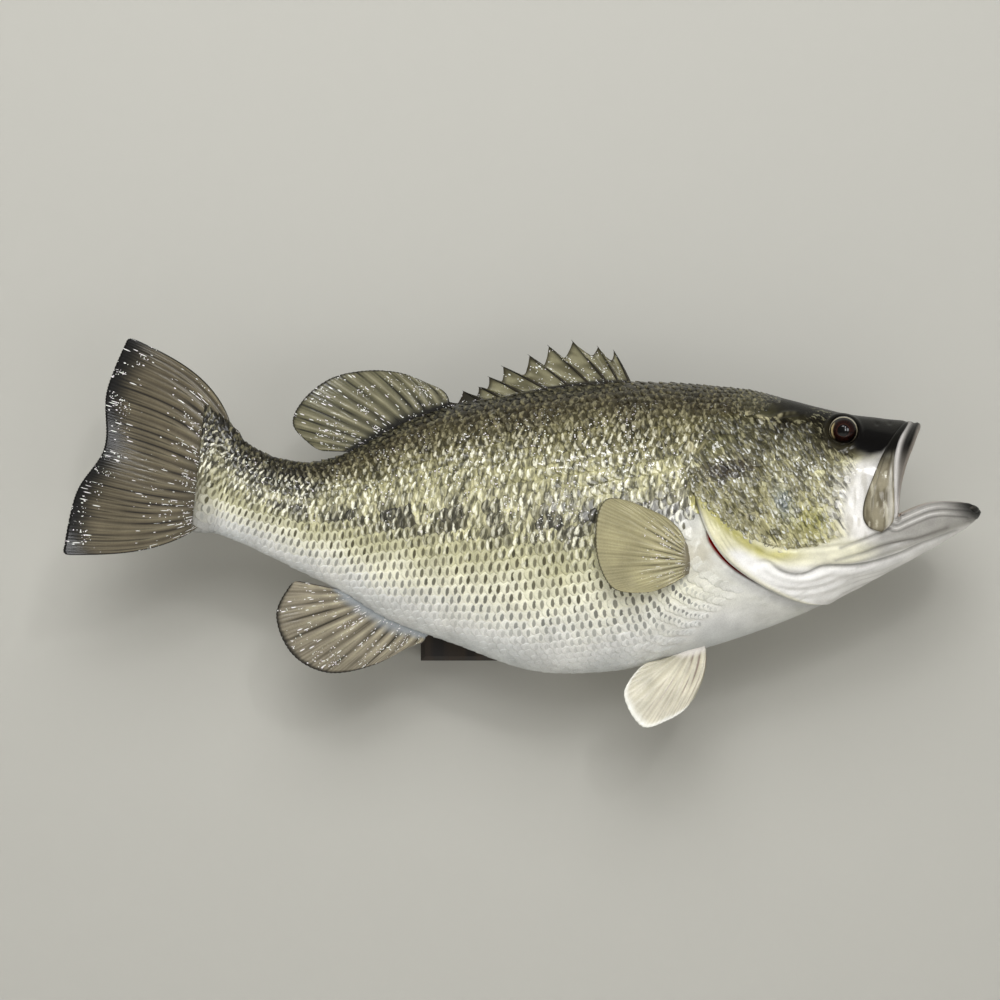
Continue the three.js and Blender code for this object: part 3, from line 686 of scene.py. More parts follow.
def skin_half(way):
    """Every row of one half of the skin: points, markings, and how strongly it is brushed."""
    angles = half_angles()
    rim_station, rim_angle, xz, on_lip = rim_lines(angles)
    station, tilt, offset = outer_rows(angles, rim_station, rim_angle)
    outer = (
        body_point(SECTIONS, station, tilt, way)
        + offset[..., None] * body_normal(SECTIONS, station, tilt, way)
    )
    x, _, z = section_point(SECTIONS, station, tilt)
    colour, _ = markings(x, z, station, tilt)
    in_station, in_angle = inner_rim(angles, xz, on_lip)
    t = (np.arange(MOUTH_ROWS) / (MOUTH_ROWS - 1))[:, None]
    mouth_station = in_station * (1 - t)
    mouth_angle = in_angle + (angles - in_angle) * smooth_step(t, 0, 0.7)
    mouth = body_point(MOUTH, mouth_station, mouth_angle, way)
    _, side, _ = section_point(MOUTH, mouth_station, mouth_angle)
    tongue = hump(side, 0, 9) * (mouth_angle < 0) * hump(mouth[..., 0], 242, 26) * 6
    folds = 0.5 * np.sin(mouth_angle * 16) * smooth_step(t, 0.15, 0.4) * (mouth_angle > -0.3)
    mouth[..., 2] += tongue
    mouth -= folds[..., None] * body_normal(MOUTH, mouth_station, mouth_angle, way)
    roll = lip_roll(outer[-1], mouth[0])
    points = np.concatenate([outer, roll, mouth])
    depth = smooth_step(t, 0, 0.9) * np.ones(HALF)
    lining = blend(np.broadcast_to(linear("#e3d6c8"), mouth.shape), "#b98778", depth)
    lining = blend(lining, "#1b1a18", smooth_step(mouth[..., 0], 284, 296) * smooth_step(0.25 - t, 0, 0.15))
    fade = (np.arange(1, LIP_ROWS + 1) / (LIP_ROWS + 1))[:, None, None]
    edge = colour[-1] * (1 - fade) + lining[0] * fade
    colours = np.concatenate([colour, edge, lining])
    slit = slice(TRUNK_ROWS + 1, TRUNK_ROWS + 7)
    # painted shadow: the rows of the gill slit under the open cover are darkened, and red lining is laid over
    # the lower ones
    colours[slit] = blend(colours[slit], "#231713", np.broadcast_to(0.95 * flap_at(angles), (6, HALF)))
    red = smooth_step(angles, math.radians(-46), math.radians(-30)) * flap_at(angles)
    colours[slit] = blend(colours[slit], "#84120f", np.broadcast_to(red, (6, HALF)))
    eye = eye_distance(x, z)
    brushed = (
        smooth_step(scaly(x, z), 0, 0.5)
        + smooth_step(eye, 11, 13) * smooth_step(26 - eye, 0, 6) * smooth_step(228 - x, 0, 8)
    )
    brushed = np.clip(brushed * smooth_step(x - gill_x(tilt), 0, 3), 0, 1)
    return points, colours, np.concatenate([brushed, np.zeros((LIP_ROWS + MOUTH_ROWS, HALF))])


def unwrap_rows():
    """Where each row of the skin lies on its own unwrap, 0 to 1 from tail to gullet."""
    rows = TRUNK_ROWS + len(SLIT_ROWS) + HEAD_ROWS + LIP_ROWS + MOUTH_ROWS
    return np.linspace(0.01, 0.99, rows)


def make_skin(material):
    """One closed skin: both halves side by side as rings, capped at the tail root and the gullet."""
    near, far = skin_half(NEAR), skin_half(FAR)
    points, colours, brushed = [
        np.concatenate([a, b[:, ::-1]], 1) for a, b in zip(near, far)
    ]
    rows, cols = points.shape[:2]
    u = unwrap_rows()
    i, j = np.meshgrid(np.arange(rows - 1), np.arange(cols), indexing="ij")
    v0, v1 = j / cols, (j + 1) / cols
    uv = np.stack([[u[i], v0], [u[i], v1], [u[i + 1], v1], [u[i + 1], v0]], 0).transpose(2, 3, 0, 1)
    cap_uv = [np.full((cols * 3, 2), [u[row], 0.5]) for row in (0, -1)]
    flat, faces = cap_rings(points)
    piece = make_piece(
        "skin", flat, faces, {"OFBake": np.concatenate([uv.reshape(-1, 2), *cap_uv])},
        {"Paint": with_tips(colours)}, {"Brushed": with_tips(brushed)},
    )
    nodes = ["head", "lower_jaw", "throat", "trunk", "tail_stem", "gill_cover_right", "gill_cover_left"]
    return finish_piece(piece, material, nodes)


# ---- Scales ----

# Each scale is a round plate: rings from its middle to its rim, then a skirt turned down into the skin.
BODY_RINGS = [(0.45, 0), (0.76, 0), (0.92, -0.05), (1.0, -0.26), (0.985, -0.8)]
FACE_RINGS = [(0.55, 0), (0.9, -0.03), (1.0, -0.16), (0.98, -0.5)]
SCALE_CORNERS, FACE_CORNERS = 12, 10  # round a body scale and a face scale
BODY_DOME, FACE_DOME = 0.5, 0.16  # mm that a scale's middle stands over its sides
SCALE_ROLL, SCALE_PITCH = 0.05, 0.035  # chance tilts of a scale as slopes, across and along


def scale_outline(corners):
    """Directions round a scale, closer together towards its rear tip, from -180 to 180 degrees."""
    t = (np.arange(corners) + 0.5) / corners * 2 - 1
    return np.pi * np.sign(t) * np.abs(t) ** 1.25


def scale_mesh(surface, p, q, length, width, stand, lift, dome, swing, rings, corners, chance):
    """Scales on a surface of p and q, each lying towards lower p, swung by an angle towards lower q.

    A point of a scale is its root moved back and across by the round outline, held on the
    surface, and raised along its normal from the first lift at the root to the second at the tip,
    plus a dome across it and a small chance tilt. Its stand, 0 to 1, presses it flat.
    """
    step = 0.01
    along = (surface(p + step, q)[0] - surface(p - step, q)[0]) / (2 * step)
    around = (surface(p, q + step)[0] - surface(p, q - step)[0]) / (2 * step)
    along_size, around_size = np.linalg.norm(along, axis=-1), np.linalg.norm(around, axis=-1)
    lean = (along * around).sum(-1) / (along_size * around_size)
    square = np.sqrt(np.maximum(1 - lean**2, 0.1))
    turn = scale_outline(corners)
    radius = np.concatenate([[0], np.repeat([r for r, _ in rings], corners)])
    drop = np.concatenate([[0], np.repeat([d for _, d in rings], corners)])
    direction = np.concatenate([[0], np.tile(turn, len(rings))])
    back = 0.5 + 0.5 * radius * np.cos(direction)
    across = radius * np.sin(direction) * (1 - 0.12 * np.cos(direction))
    a = back * length[:, None]
    b = across * width[:, None] / 2
    down, level = b * math.cos(swing) - a * math.sin(swing), a * math.cos(swing) + b * math.sin(swing)
    shift_p = -level / along_size[:, None] - down * (lean / (square * along_size))[:, None]
    shift_q = down / (around_size * square)[:, None]
    points, normals = surface(p[:, None] + shift_p, q[:, None] + shift_q)
    rise = lift[0] + (lift[1] - lift[0]) * back**0.85 + dome * (1 - across**2) * back - 0.1
    tilt = (
        SCALE_ROLL * chance[0][:, None] * b + SCALE_PITCH * chance[1][:, None] * (a - 0.75 * length[:, None])
    )
    stretch = (1 + 0.2 * chance[2][:, None]) * stand[:, None]
    points = points + normals * ((rise + drop) * stretch + tilt * back)[..., None]
    count = 1 + corners * len(rings)
    i = np.arange(corners)
    j = (i + 1) % corners
    fan = np.stack([np.zeros(corners, int), 1 + i, 1 + j, np.full(corners, -1)], 1)
    bands = []
    for k in range(len(rings) - 1):
        inner, outer = 1 + k * corners, 1 + (k + 1) * corners
        bands.append(np.stack([inner + i, outer + i, outer + j, inner + j], 1))
    one = np.concatenate([fan, *bands])
    faces = np.where(one < 0, -1, one + (np.arange(len(p)) * count)[:, None, None]).reshape(-1, 4)
    lie = np.stack(np.broadcast_arrays(back, 0.5 + 0.5 * across), -1)
    lies = np.broadcast_to(lie, (len(p), count, 2)).reshape(-1, 2)
    return points.reshape(-1, 3), faces, lies


def make_scales(
    name, surface, way, p, q, length, width, stand, lift, dome, swing, rings, corners, colour, height
):
    """One joined mesh of scales with its paint, lie and bake patches."""
    chance = np.random.default_rng(len(p)).random((5, len(p)))
    size = 0.97 + 0.08 * chance[3]
    tilts = chance[:3] * 2 - 1
    points, faces, lies = scale_mesh(
        surface, p, q, length * size, width * size, stand, lift, dome, swing, rings, corners, tilts,
    )
    if way == FAR:
        faces = flip_faces(faces)
    count = len(points) // len(p)
    patches = np.repeat(skin_place(p, q, way), count, axis=0) + (lies - 0.5) * BAKE_PATCH
    return make_piece(
        name, points, faces, {"Lie": lies, "OFBake": patches}, {"Paint": np.repeat(colour, count, axis=0)},
        {"Height": np.repeat(height, count), "Chance": np.repeat(chance[4], count)},
    )


BAKE_PATCH = 0.003
BODY_LIFT, FACE_LIFT = (-0.55, 0.85), (-0.3, 0.42)  # mm over the skin at a scale's root and tip
FACE_PITCH, FACE_SPACING = 3.3, 3.1  # mm between face scales along and round the head
FACE_SWING = 0.7  # how far the face scales lie downwards, in radians
# x along the fish, pitch from scale to scale along the body, and spacing of the rows, in mm
SCALE_SIZES = np.array([
    [-195, 3.2, 4.2], [-160, 3.9, 5.0], [-120, 4.3, 5.8], [-60, 5.0, 7.2], [20, 5.6, 8.6], [118, 5.5, 8.5],
    [150, 4.3, 6.3],
    [175, 3.6, 5.2], [200, 2.8, 4.0],
])
LATERAL_LINE = [
    [-194, 55], [-165, 41], [-130, 30], [-90, 26], [-40, 38], [20, 50], [80, 60], [130, 68], [170, 78],
    [210, 86],
]
UPPER_ROWS = 0.78  # rows above the lateral line against those under it
NARROWING = 0.012  # how much of a row's height each row under the line loses


def arc_table():
    """Distance round the body in mm from its back, for a grid of stations and angles."""
    stations, angles = np.linspace(0, 13.5, 130), np.radians(np.linspace(-90, 90, 121))
    s, a = np.meshgrid(stations, angles, indexing="ij")
    points = body_point(SECTIONS, s, a, NEAR)
    steps = np.linalg.norm(np.diff(points, axis=1), axis=-1)
    return stations, angles, np.concatenate([np.zeros((len(stations), 1)), np.cumsum(steps, 1)], 1)


def scale_places():
    """Roots of one side's body scales as station and angle.

    Columns stand a pitch apart along the lateral line and every other row is set half a pitch
    back. Rows stand a row's height apart round the body, counted from the lateral line.
    """
    line = curve(LATERAL_LINE, 400)
    pitch = np.interp((line[1:, 0] + line[:-1, 0]) / 2, SCALE_SIZES[:, 0], SCALE_SIZES[:, 1])
    count = np.concatenate([[0], np.cumsum(np.hypot(*np.diff(line, axis=0).T) / pitch)])
    column, row = np.meshgrid(np.arange(int(count[-1])), np.arange(-24, 16), indexing="ij")
    chance = np.random.default_rng(5).normal(0, 1, (2, *column.shape))
    at = column + 0.5 * (row % 2) + 0.06 * chance[0]
    x, z = np.interp(at, count, line[:, 0]), np.interp(at, count, line[:, 1])
    station, angle = locate(SECTIONS, x, z)
    stations, angles, arcs = arc_table()
    spacing = np.interp(x, SCALE_SIZES[:, 0], SCALE_SIZES[:, 2]) * np.where(row > 0, UPPER_ROWS, 1)
    below = np.maximum(-row, 0)
    narrow = np.maximum(1 - 2 * NARROWING * below, 0.5)
    where = station / stations[-1] * (len(stations) - 1)
    near_row = np.clip(where.astype(int), 0, len(stations) - 2)
    part = (where - near_row)[..., None]
    profile = arcs[near_row] * (1 - part) + arcs[near_row + 1] * part
    start = (angle + math.pi / 2) / math.pi * (len(angles) - 1)
    first = np.clip(start.astype(int), 0, len(angles) - 2)[..., None]
    low = np.take_along_axis(profile, first, -1)[..., 0]
    high = np.take_along_axis(profile, first + 1, -1)[..., 0]
    wanted = (
        low + (high - low) * (start - first[..., 0])
        + (row + NARROWING * below**2 + 0.04 * chance[1]) * spacing
    )
    inside = (wanted > 0.5) & (wanted < profile[..., -1] - 0.5)
    after = np.clip((profile < wanted[..., None]).sum(-1), 1, len(angles) - 1)[..., None]
    low = np.take_along_axis(profile, after - 1, -1)[..., 0]
    high = np.take_along_axis(profile, after, -1)[..., 0]
    between = (wanted - low) / np.maximum(high - low, 1e-6)
    turned = angles[after[..., 0] - 1] + between * (angles[1] - angles[0])
    keep = inside & (station > 0.12)
    return station[keep], turned[keep], narrow[keep]


def surface_over(offset_at, way):
    """The body's surface on one side, moved out along its normal by an offset worked out at each place."""
    def surface(station, angle):
        """Points and outward normals at stations and angles."""
        x, _, z = section_point(SECTIONS, station, angle)
        normal = body_normal(SECTIONS, station, angle, way)
        points = body_point(SECTIONS, station, angle, way) + offset_at(x, z, angle)[..., None] * normal
        return points, normal
    return surface


def skin_place(station, angle, way):
    """Where a place on the body lies on the skin's unwrap."""
    gill_station = np.interp(angle, GILL_ANGLE[::-1], GILL_STATION[::-1])
    behind = np.clip(station / gill_station, 0, 1) ** (1 / 0.9) * (TRUNK_ROWS - 1)
    rim_station = np.interp(angle, *RIM_TABLE)
    ahead = np.clip((station - gill_station) / np.maximum(rim_station - gill_station, 0.1), 0, 1)
    row = np.where(station < gill_station, behind, TRUNK_ROWS + len(SLIT_ROWS) + ahead * (HEAD_ROWS - 1))
    rows = unwrap_rows()
    across = (angle + math.pi / 2) / (2 * math.pi)
    return np.stack([np.interp(row, np.arange(len(rows)), rows), across if way == NEAR else 1 - across], 1)


def body_scales(way, name, material):
    """The coat of scales on one side of the body."""
    station, angle, narrow = scale_places()
    x, _, z = section_point(SECTIONS, station, angle)
    forward = x - gill_x(angle)
    nape_end = 191 - 1.2 * (100 - z)
    bare = 9 - 15 * smooth_step(32 - z, 0, 9)
    keep = (forward < bare) | ((angle > math.radians(52)) & (x < nape_end))
    station, angle, x, z, forward, narrow = (part[keep] for part in (station, angle, x, z, forward, narrow))
    clear = 1 - 0.92 * smooth_step(forward, -48, -17) * smooth_step(26 - z, 0, 10)
    pitch = np.interp(x, SCALE_SIZES[:, 0], SCALE_SIZES[:, 1])
    spacing = (
        np.interp(x, SCALE_SIZES[:, 0], SCALE_SIZES[:, 2]) * np.where(angle > 0.2, UPPER_ROWS, 1) * narrow
    )
    colour, height = markings(x, z, station, angle)
    breast = smooth_step(forward, -34, -10) * smooth_step(24 - z, 0, 14)
    stand = (
        (1 - 0.6 * smooth_step(0.36 - height, 0, 0.18)) * (1 - 0.7 * breast)
        * (1 - 0.4 * smooth_step(-150 - x, 0, 20))
    )
    uneven = (
        0.11 * (np.random.default_rng(14).random(len(x)) - 0.5) * smooth_step(height, 0.28, 0.42)
        * smooth_step(0.7 - height, 0, 0.1)
    )
    stand = stand * (1 - 0.75 * smooth_step(x - nape_end[keep], -22, -2) * (forward > 0))
    piece = make_scales(
        name, surface_over(coat_offset, way), way, station, angle, 2.1 * pitch, 1.5 * spacing, stand,
        BODY_LIFT, BODY_DOME,
        0, BODY_RINGS, SCALE_CORNERS, colour, height * clear + uneven,
    )
    return finish_piece(piece, material)


def scaly(x, z):
    """Chance from 0 to 1 that a place on the head carries a small scale."""
    chance = smooth_step(above_foot(x, z), -2.5, 3)
    chance *= smooth_step(92 - 0.1 * (x - 150) - z, 0, 5)
    chance *= smooth_step(eye_distance(x, z), 12, 17)
    chance *= 1 - np.exp(-(distance_to("maxilla_rear", x, z) / 15) ** 5) * smooth_step(66 - z, 0, 6)
    chance *= (
        smooth_step(243 - x, 0, 10) * smooth_step(np.interp(x, [196, 216, 234], [97, 84, 73]) - z, 0, 4)
    )
    chance *= 1 - 0.8 * hump(np.hypot((x - 146) / 10, (z - 71) / 5.5), 0, 1)
    chance *= 1 - smooth_step(x, 226, 231) * smooth_step(z, 58, 62)
    for name in ("preopercle", "cheek_arc", "subopercle"):
        chance *= 1 - 0.9 * hump(distance_to(name, x, z), 0, 1.7)
    return chance * smooth_step(x - gill_x_at(z), 0.5, 3)


def face_scales(way, name, material):
    """Small scales over the cheek, the temple and the gill cover, thinning out towards bare skin."""
    x, z = np.meshgrid(np.arange(132, 240, FACE_PITCH), np.arange(6, 92, FACE_SPACING), indexing="ij")
    x = x + FACE_PITCH / 2 * (np.arange(x.shape[1]) % 2)
    chance = np.random.default_rng(8).normal(0, 0.42, (2, *x.shape))
    x, z = (x + chance[0]).ravel(), (z + chance[1]).ravel()
    keep = np.random.default_rng(9).random(len(x)) < scaly(x, z) * 1.2 - 0.1
    station, angle = locate(SECTIONS, x[keep], z[keep])
    colour, _ = markings(x[keep], z[keep], station, angle)
    size = np.random.default_rng(10).uniform(0.8, 1.15, len(station))
    broad = smooth_step(mottle(x[keep], z[keep], 7, 27), 0.15, 0.65)
    lively = np.random.default_rng(12).random(len(station))
    marks = 0.34 + 0.17 * lively * (0.2 + 0.8 * broad)
    within = smooth_step(above_foot(x[keep], z[keep]), -1, 9)
    stand = (0.6 + 0.6 * np.random.default_rng(13).random(len(station))) * (0.3 + 0.7 * within)
    size *= 0.68 + 0.32 * within
    piece = make_scales(
        name, surface_over(head_offset, way), way, station, angle, 2 * FACE_PITCH * size,
        1.9 * FACE_SPACING * size, stand, FACE_LIFT,
        FACE_DOME, FACE_SWING, FACE_RINGS, FACE_CORNERS, colour, marks,
    )
    return finish_piece(piece, material)


# ---- Jaw bones and eyes ----

EYE_GAP = 0.35  # mm between the glass and its socket


def make_maxilla(way, name, node, material):
    """The bone plate behind the upper lip: closed rings across it, carried along its length.

    Each ring runs over the plate's domed face and back under it. The face carries ridges along
    the bone, and a step where the small upper bone lies on the large one.
    """
    rows, cols = 90, 56
    t = np.linspace(0, 1, rows)[:, None]
    turn = (np.arange(cols) / cols * 2 * math.pi)[None, :]
    front, rear = (row_at(edge, t[:, 0] * (len(edge) - 1)) for edge in (MAXILLA_FRONT, MAXILLA_REAR))
    across = np.cos(turn) * np.sqrt(np.clip(1 - (2 * t - 1) ** 12, 0, 1))
    xz = rear[:, None] + (front - rear)[:, None] * (0.5 + 0.5 * across)[..., None]
    x, z = xz[..., 0], xz[..., 1]
    over = np.sin(turn)
    dome = np.where(over > 0, 1.9, 2.6) * np.sign(over) * np.abs(over) ** 0.6
    dome = dome * np.clip(1 - (2 * t - 1) ** 10, 0, 1) ** 0.5
    upper_bone = (
        smooth_step(-0.42 - across, 0, 0.12) * smooth_step(0.72 - t, 0, 0.05) * smooth_step(t, 0.1, 0.25)
    )
    ripples = 0.05 * np.sin(across * 11 + 2.5 * t + 3 * mottle(x, z, 12, 30))
    ridges = (ripples + 0.3 * mottle(x * 1.3, z * 0.6, 3, 33)) * np.sin(np.pi * t)
    rim = 0.4 * hump(across, 0.86, 0.14) - 0.3 * hump(across, 0.6, 0.12)
    face = (0.5 * upper_bone + ridges + rim) * (over > 0) * np.abs(over) ** 0.5
    station, angle = locate(SECTIONS, x, z)
    normal = body_normal(SECTIONS, station, angle, way)
    points = body_point(SECTIONS, station, angle, way) + (dome + face)[..., None] * normal
    colour = np.broadcast_to(linear("#8d8671"), (rows, cols, 3))
    colour = layered(
        colour,
        ("#5d5644", 0.75 * smooth_step(mottle(x * 1.5, z * 0.55, 3.2, 31), 0.5, 0.8)),
        # pale flecks, partly the plate's own colour and partly painted glints
        ("#c9c4b0", 0.6 * smooth_step(mottle(x * 1.8, z * 0.45, 2.6, 32), 0.66, 0.85)),
        # painted highlight: a pale band along the plate's front side
        ("#b9b6ad", 0.7 * hump(across, 0.72, 0.16) * smooth_step(t, 0.25, 0.45)),
        ("#3c3a30", 0.6 * hump(across, -0.4, 0.05) * smooth_step(0.74 - t, 0, 0.1)),
        ("#4a4336", 0.75 * smooth_step(t, 0.86, 1.0) * np.ones(cols)),
        ("#0e0d0a", smooth_step(0.42 - t, 0, 0.2) * np.ones(cols)),
        ("#2a261d", 0.8 * smooth_step(-across, 0.82, 0.97)),
    )
    flat, faces = cap_rings(points)
    if way == NEAR:
        faces = flip_faces(faces)
    piece = make_piece(name, flat, faces, None, {"Paint": with_ends(colour)})
    return finish_piece(piece, material, [node])


def make_eye(way, name, node, material):
    """A glass eye: a ball whose polar angle is measured from where it looks, with its iris as its UV."""
    rows, cols = 40, 64
    polar = np.linspace(0, math.pi, rows + 2)[1:-1, None]
    turn = (np.arange(cols) / cols * 2 * math.pi)[None, :]
    eye_x = np.array(float(EYE["x"]))
    look = place(eye_x, way * 1.0, EYE["z"]) - place(eye_x, 0.0, EYE["z"])
    look = look / np.linalg.norm(look)
    right = np.cross(look, [0, 0, 1.0])
    right /= np.linalg.norm(right)
    up = np.cross(right, look)
    right *= -way
    centre = place(eye_x, way * EYE["side"], EYE["z"])
    bulge = EYE["radius"] - EYE_GAP
    points = centre + bulge * (
        np.cos(polar)[..., None] * look
        + (np.sin(polar) * np.cos(turn))[..., None] * right
        + (np.sin(polar) * np.sin(turn))[..., None] * up
    )
    flat, faces = cap_rings(points)
    flat[-2] = centre + bulge * look
    flat[-1] = centre - bulge * look
    round_it, down_it = points[1, 1] - points[1, 0], points[2, 0] - points[1, 0]
    volume = (np.cross(round_it, down_it) * (points[1, 0] - centre)).sum()
    if volume < 0:
        faces = flip_faces(faces)
    radius = np.sin(np.minimum(polar, math.pi / 2))
    iris = np.stack(
        np.broadcast_arrays(0.5 + 0.5 * radius * np.cos(turn), 0.5 + 0.5 * radius * np.sin(turn)), -1,
    )
    iris = np.concatenate([iris.reshape(-1, 2), [[0.5, 0.5], [1.0, 0.5]]])
    piece = make_piece(name, flat, faces, {"Iris": iris})
    return finish_piece(piece, material, [node])


# ---- Fins ----

SPINES = np.array([
    # root x, root z, tip x, tip z, and the low point of the membrane's edge behind the spine
    [92, 111.5, 82.5, 130.5, 80, 125.5], [85, 111.5, 72.5, 133, 68, 128.5],
    [77, 111.5, 56.5, 136.5, 51, 127],
    [66, 110.5, 41.5, 133.5, 38, 122], [54, 109, 29.5, 127.5, 26, 116.5], [41, 107, 13, 120.5, 12, 112],
    [27.5, 104, 4.5, 114, 3, 107.5], [15.5, 101.5, -1.5, 107.5, -4, 102.5], [3, 99, -11, 105, -16, 98],
])
LAST_PANEL_END = np.array([-21, 96, -26, 101.5])  # where the last panel ends, as root and tip
SPINE_FOOT = (0.22, 5)  # how far a spine's foot goes on: by its own slope in x, and mm down
FAR_PELVIC_SHIFT = 4  # mm that the far pelvic fin is set forward
CORNER = 4.5  # mm that the corners of a fin are rounded by
GLINT_AT = [0.05, 0.3, 0.65, 0.93]  # how far out along a fin its four amounts of glitter hold
# Each fin has these values, in mm where they are sizes:
# root and edge: x, z and side of its rays' ends, from the first ray to the last.
# bows: how far the first and the last ray bend outwards. sink: how deep the root goes in the body.
# tuck: how far the sunk root turns sideways into the body.
# thick: thickness at the foot, in the middle and at the edge. ridge: how far rays stand out.
# rays: how many. parts: strength of the lines between a ray's own parts. wave: height of the web's waves.
# grid: points across the rays and along them.
# web, ray, rim, foot, line: colours. rim_width and foot_width: shares of a ray's length.
# rim_line: width of the dark line round the edge.
# lines: where along a ray the dark lines start and end their fading, and how much is lost.
# plain: how much of the lines goes missing towards the last ray.
# glint: glitter at the places in GLINT_AT.
# lit: strength, middle and reach of the pale light on the rays.
FINS = {
    "caudal_fin": {
        "root": [[-153, 84, 0], [-162, 70, 0], [-168, 50, 0], [-172, 33, 0], [-173.5, 19.5, 0]],
        "edge": [[-213, 136.5, 1], [-225.5, 103, 2], [-227, 69, 2], [-243, 41.5, 2], [-251, 4, 1]],
        "bows": (-9.5, 6.5), "sink": 7, "thick": (2.2, 2.2, 0.5), "rays": 19, "ridge": 0.4,
        "grid": (560, 56),
        "web": "#5b5342", "ray": "#665e4b", "rim": "#0c0b0a", "foot": "#4d4738", "line": "#17140f",
        "rim_width": 0.12, "rim_line": 0.9, "foot_width": 0.25, "wave": 0.9, "lines": (2, 3, 0.8),
        "parts": 0.8,
        "glint": (1.6, 0.8, 0.0, 0.9), "lit": (0.12, 0.28, 0.22),
    },
    "dorsal_fin_soft": {
        "root": [[-19, 97, 0], [-35, 91, 0], [-52, 83.5, 0], [-69, 74.5, 0], [-84, 67, 0]],
        "edge": [
            [-31, 109, 0], [-49, 116, 0.5], [-70, 117.5, 1], [-92, 112.5, 1], [-109, 99, 1], [-115, 83, 1],
            [-100, 67.5, 0.5],
        ],
        "bows": (-3, 0), "sink": 9, "thick": (3.4, 1.5, 0.5), "rays": 13, "ridge": 0.45, "grid": (420, 44),
        "web": "#5b5843", "ray": "#67644c", "rim": "#12100c", "foot": "#14120d", "line": "#15130d",
        "rim_width": 0.02, "rim_line": 1.0, "foot_width": 0.16, "wave": 0.8, "lines": (0.5, 2, 0.2),
        "parts": 0.12,
        "glint": (1.0, 0.7, 0.8, 0.6), "lit": (0.32, 0.5, 0.6),
    },
    "anal_fin": {
        "root": [[-33.5, -47.5, 0], [-47.5, -41.5, 0], [-62, -33.5, 0], [-76, -26, 0], [-89, -17.5, 0]],
        "edge": [
            [-41, -52, 0], [-66, -65, 0], [-94, -69.5, -1], [-116, -57.5, -1], [-125.5, -33, -1],
            [-115, -12, 0],
        ],
        "bows": (2, 0), "sink": 9, "thick": (4.2, 1.7, 0.5), "rays": 12, "ridge": 0.5, "grid": (420, 46),
        "web": "#7c7462", "ray": "#8a8270", "rim": "#17140f", "foot": "#9aa0a4", "line": "#2d281d",
        "rim_width": 0.03, "rim_line": 1.0, "foot_width": 0.2, "wave": 0.8, "lines": (0.5, 1.2, 0.5),
        "parts": 0.4,
        "glint": (0.6, 0.8, 0.6, 0.4), "lit": (0.45, 0.4, 0.4),
    },
    "pectoral_fin": {
        "root": [[126, 12, -46], [126.5, 7, -46.5], [127, 2, -46.5], [126.5, -3, -46], [126, -8, -45]],
        "edge": [[112, 28.5, -51], [76, 38, -54], [69, 10, -56], [79, -15, -55.5], [104, -18, -52.5]],
        "bows": (-2, 1), "sink": 10, "thick": (4.4, 1.6, 0.5), "rays": 13, "ridge": 0.6, "grid": (420, 50),
        "web": "#9a936e", "ray": "#a19a76", "rim": "#2a2720", "foot": "#7b745f", "line": "#29251a",
        "rim_width": 0.008, "rim_line": 0.8, "foot_width": 0.09, "wave": 0.5, "lines": (0.25, 0.65, 0.8),
        "parts": 0.6,
        "glint": (0.7, 0.9, 0.0, 0.0), "lit": (0.85, 0.26, 0.22), "tuck": 9,
    },
    "pelvic_fin": {
        "root": [[139, -53, -11], [134, -55, -11.5], [129, -56, -12], [124, -57, -12], [119, -58, -11]],
        "edge": [
            [127.5, -90.5, -18.5], [115, -97.5, -21], [99, -100.5, -23], [88, -81, -21], [100, -63, -16],
        ],
        "bows": (4, 0.5), "sink": 9, "thick": (4.6, 1.9, 0.55), "rays": 6, "ridge": 0.8, "grid": (360, 50),
        "web": "#c6c1ab", "ray": "#d2cdbb", "rim": "#ecebe2", "foot": "#e6e1da", "line": "#85756a",
        "rim_width": 0.05, "rim_line": 0.0, "foot_width": 0.1, "wave": 0.4, "lines": (0.25, 1.1, 0.8),
        "parts": 1,
        "glint": (0, 0, 0, 0), "lit": (0.2, 0.28, 0.22), "plain": 0.75,
    },
}


def ray_pattern(u, v, rays):
    """Height of the fin rays, 0 to 1: one ridge a ray at the root that parts in two, then in four."""
    f = (u * rays) % 1 - 0.5
    first = 0.24 * smooth_step(v, 0.22, 0.7)
    second = 0.12 * smooth_step(v, 0.5, 0.95)
    width = 0.2 - 0.115 * smooth_step(v, 0.1, 0.8)
    height = 0
    for a in (-1, 1):
        for b in (-1, 1):
            height = np.maximum(height, hump(f, a * first + b * second, width))
    return height


def ray_lines(u, reach, rays, parts):
    """Thin lines between the rays, and further out, as strong as parts, between their two and four parts."""
    f = (u * rays) % 1
    whole = hump(np.minimum(f, 1 - f), 0, 0.2 - 0.11 * smooth_step(reach, 0, 0.6))
    half = hump(f, 0.5, 0.07) * smooth_step(reach, 0.25, 0.45)
    quarter = hump(np.abs(f - 0.5), 0.25, 0.05) * smooth_step(reach, 0.55, 0.75)
    return np.clip(whole + parts * (half + quarter), 0, 1)


def fin_surface(fin, u, v):
    """x, side and z on a fin's middle sheet, as in its solid: straight rays bowed at the two ends."""
    start = row_at(fin["root"], u * (len(fin["root"]) - 1))
    end = row_at(fin["edge"], u * (len(fin["edge"]) - 1))
    run_x, run_z = end[..., 0] - start[..., 0], end[..., 1] - start[..., 1]
    length = np.hypot(run_x, run_z)
    across = np.hypot(*(np.array(fin["edge"][0][:2]) - fin["edge"][-1][:2]))
    off_corner = np.clip(1 - np.minimum(u, 1 - u) * across / CORNER, 0, 1)
    cut = CORNER * (1 - np.sqrt(1 - off_corner**2))
    reach = v * (length - cut + fin["sink"]) / length - fin["sink"] / length
    bows = fin["bows"]
    bow = (bows[0] * (1 - u) ** 2 + bows[1] * u**2) * np.sin(math.pi * np.clip(reach, 0, 1) ** 0.8)
    x = start[..., 0] + run_x * reach - run_z / length * bow
    z = start[..., 1] + run_z * reach + run_x / length * bow
    side = start[..., 2] + (end[..., 2] - start[..., 2]) * reach
    side = side + fin.get("tuck", 0) * np.clip(-reach * length / fin["sink"], 0, 1)
    return x, side, z, reach, length


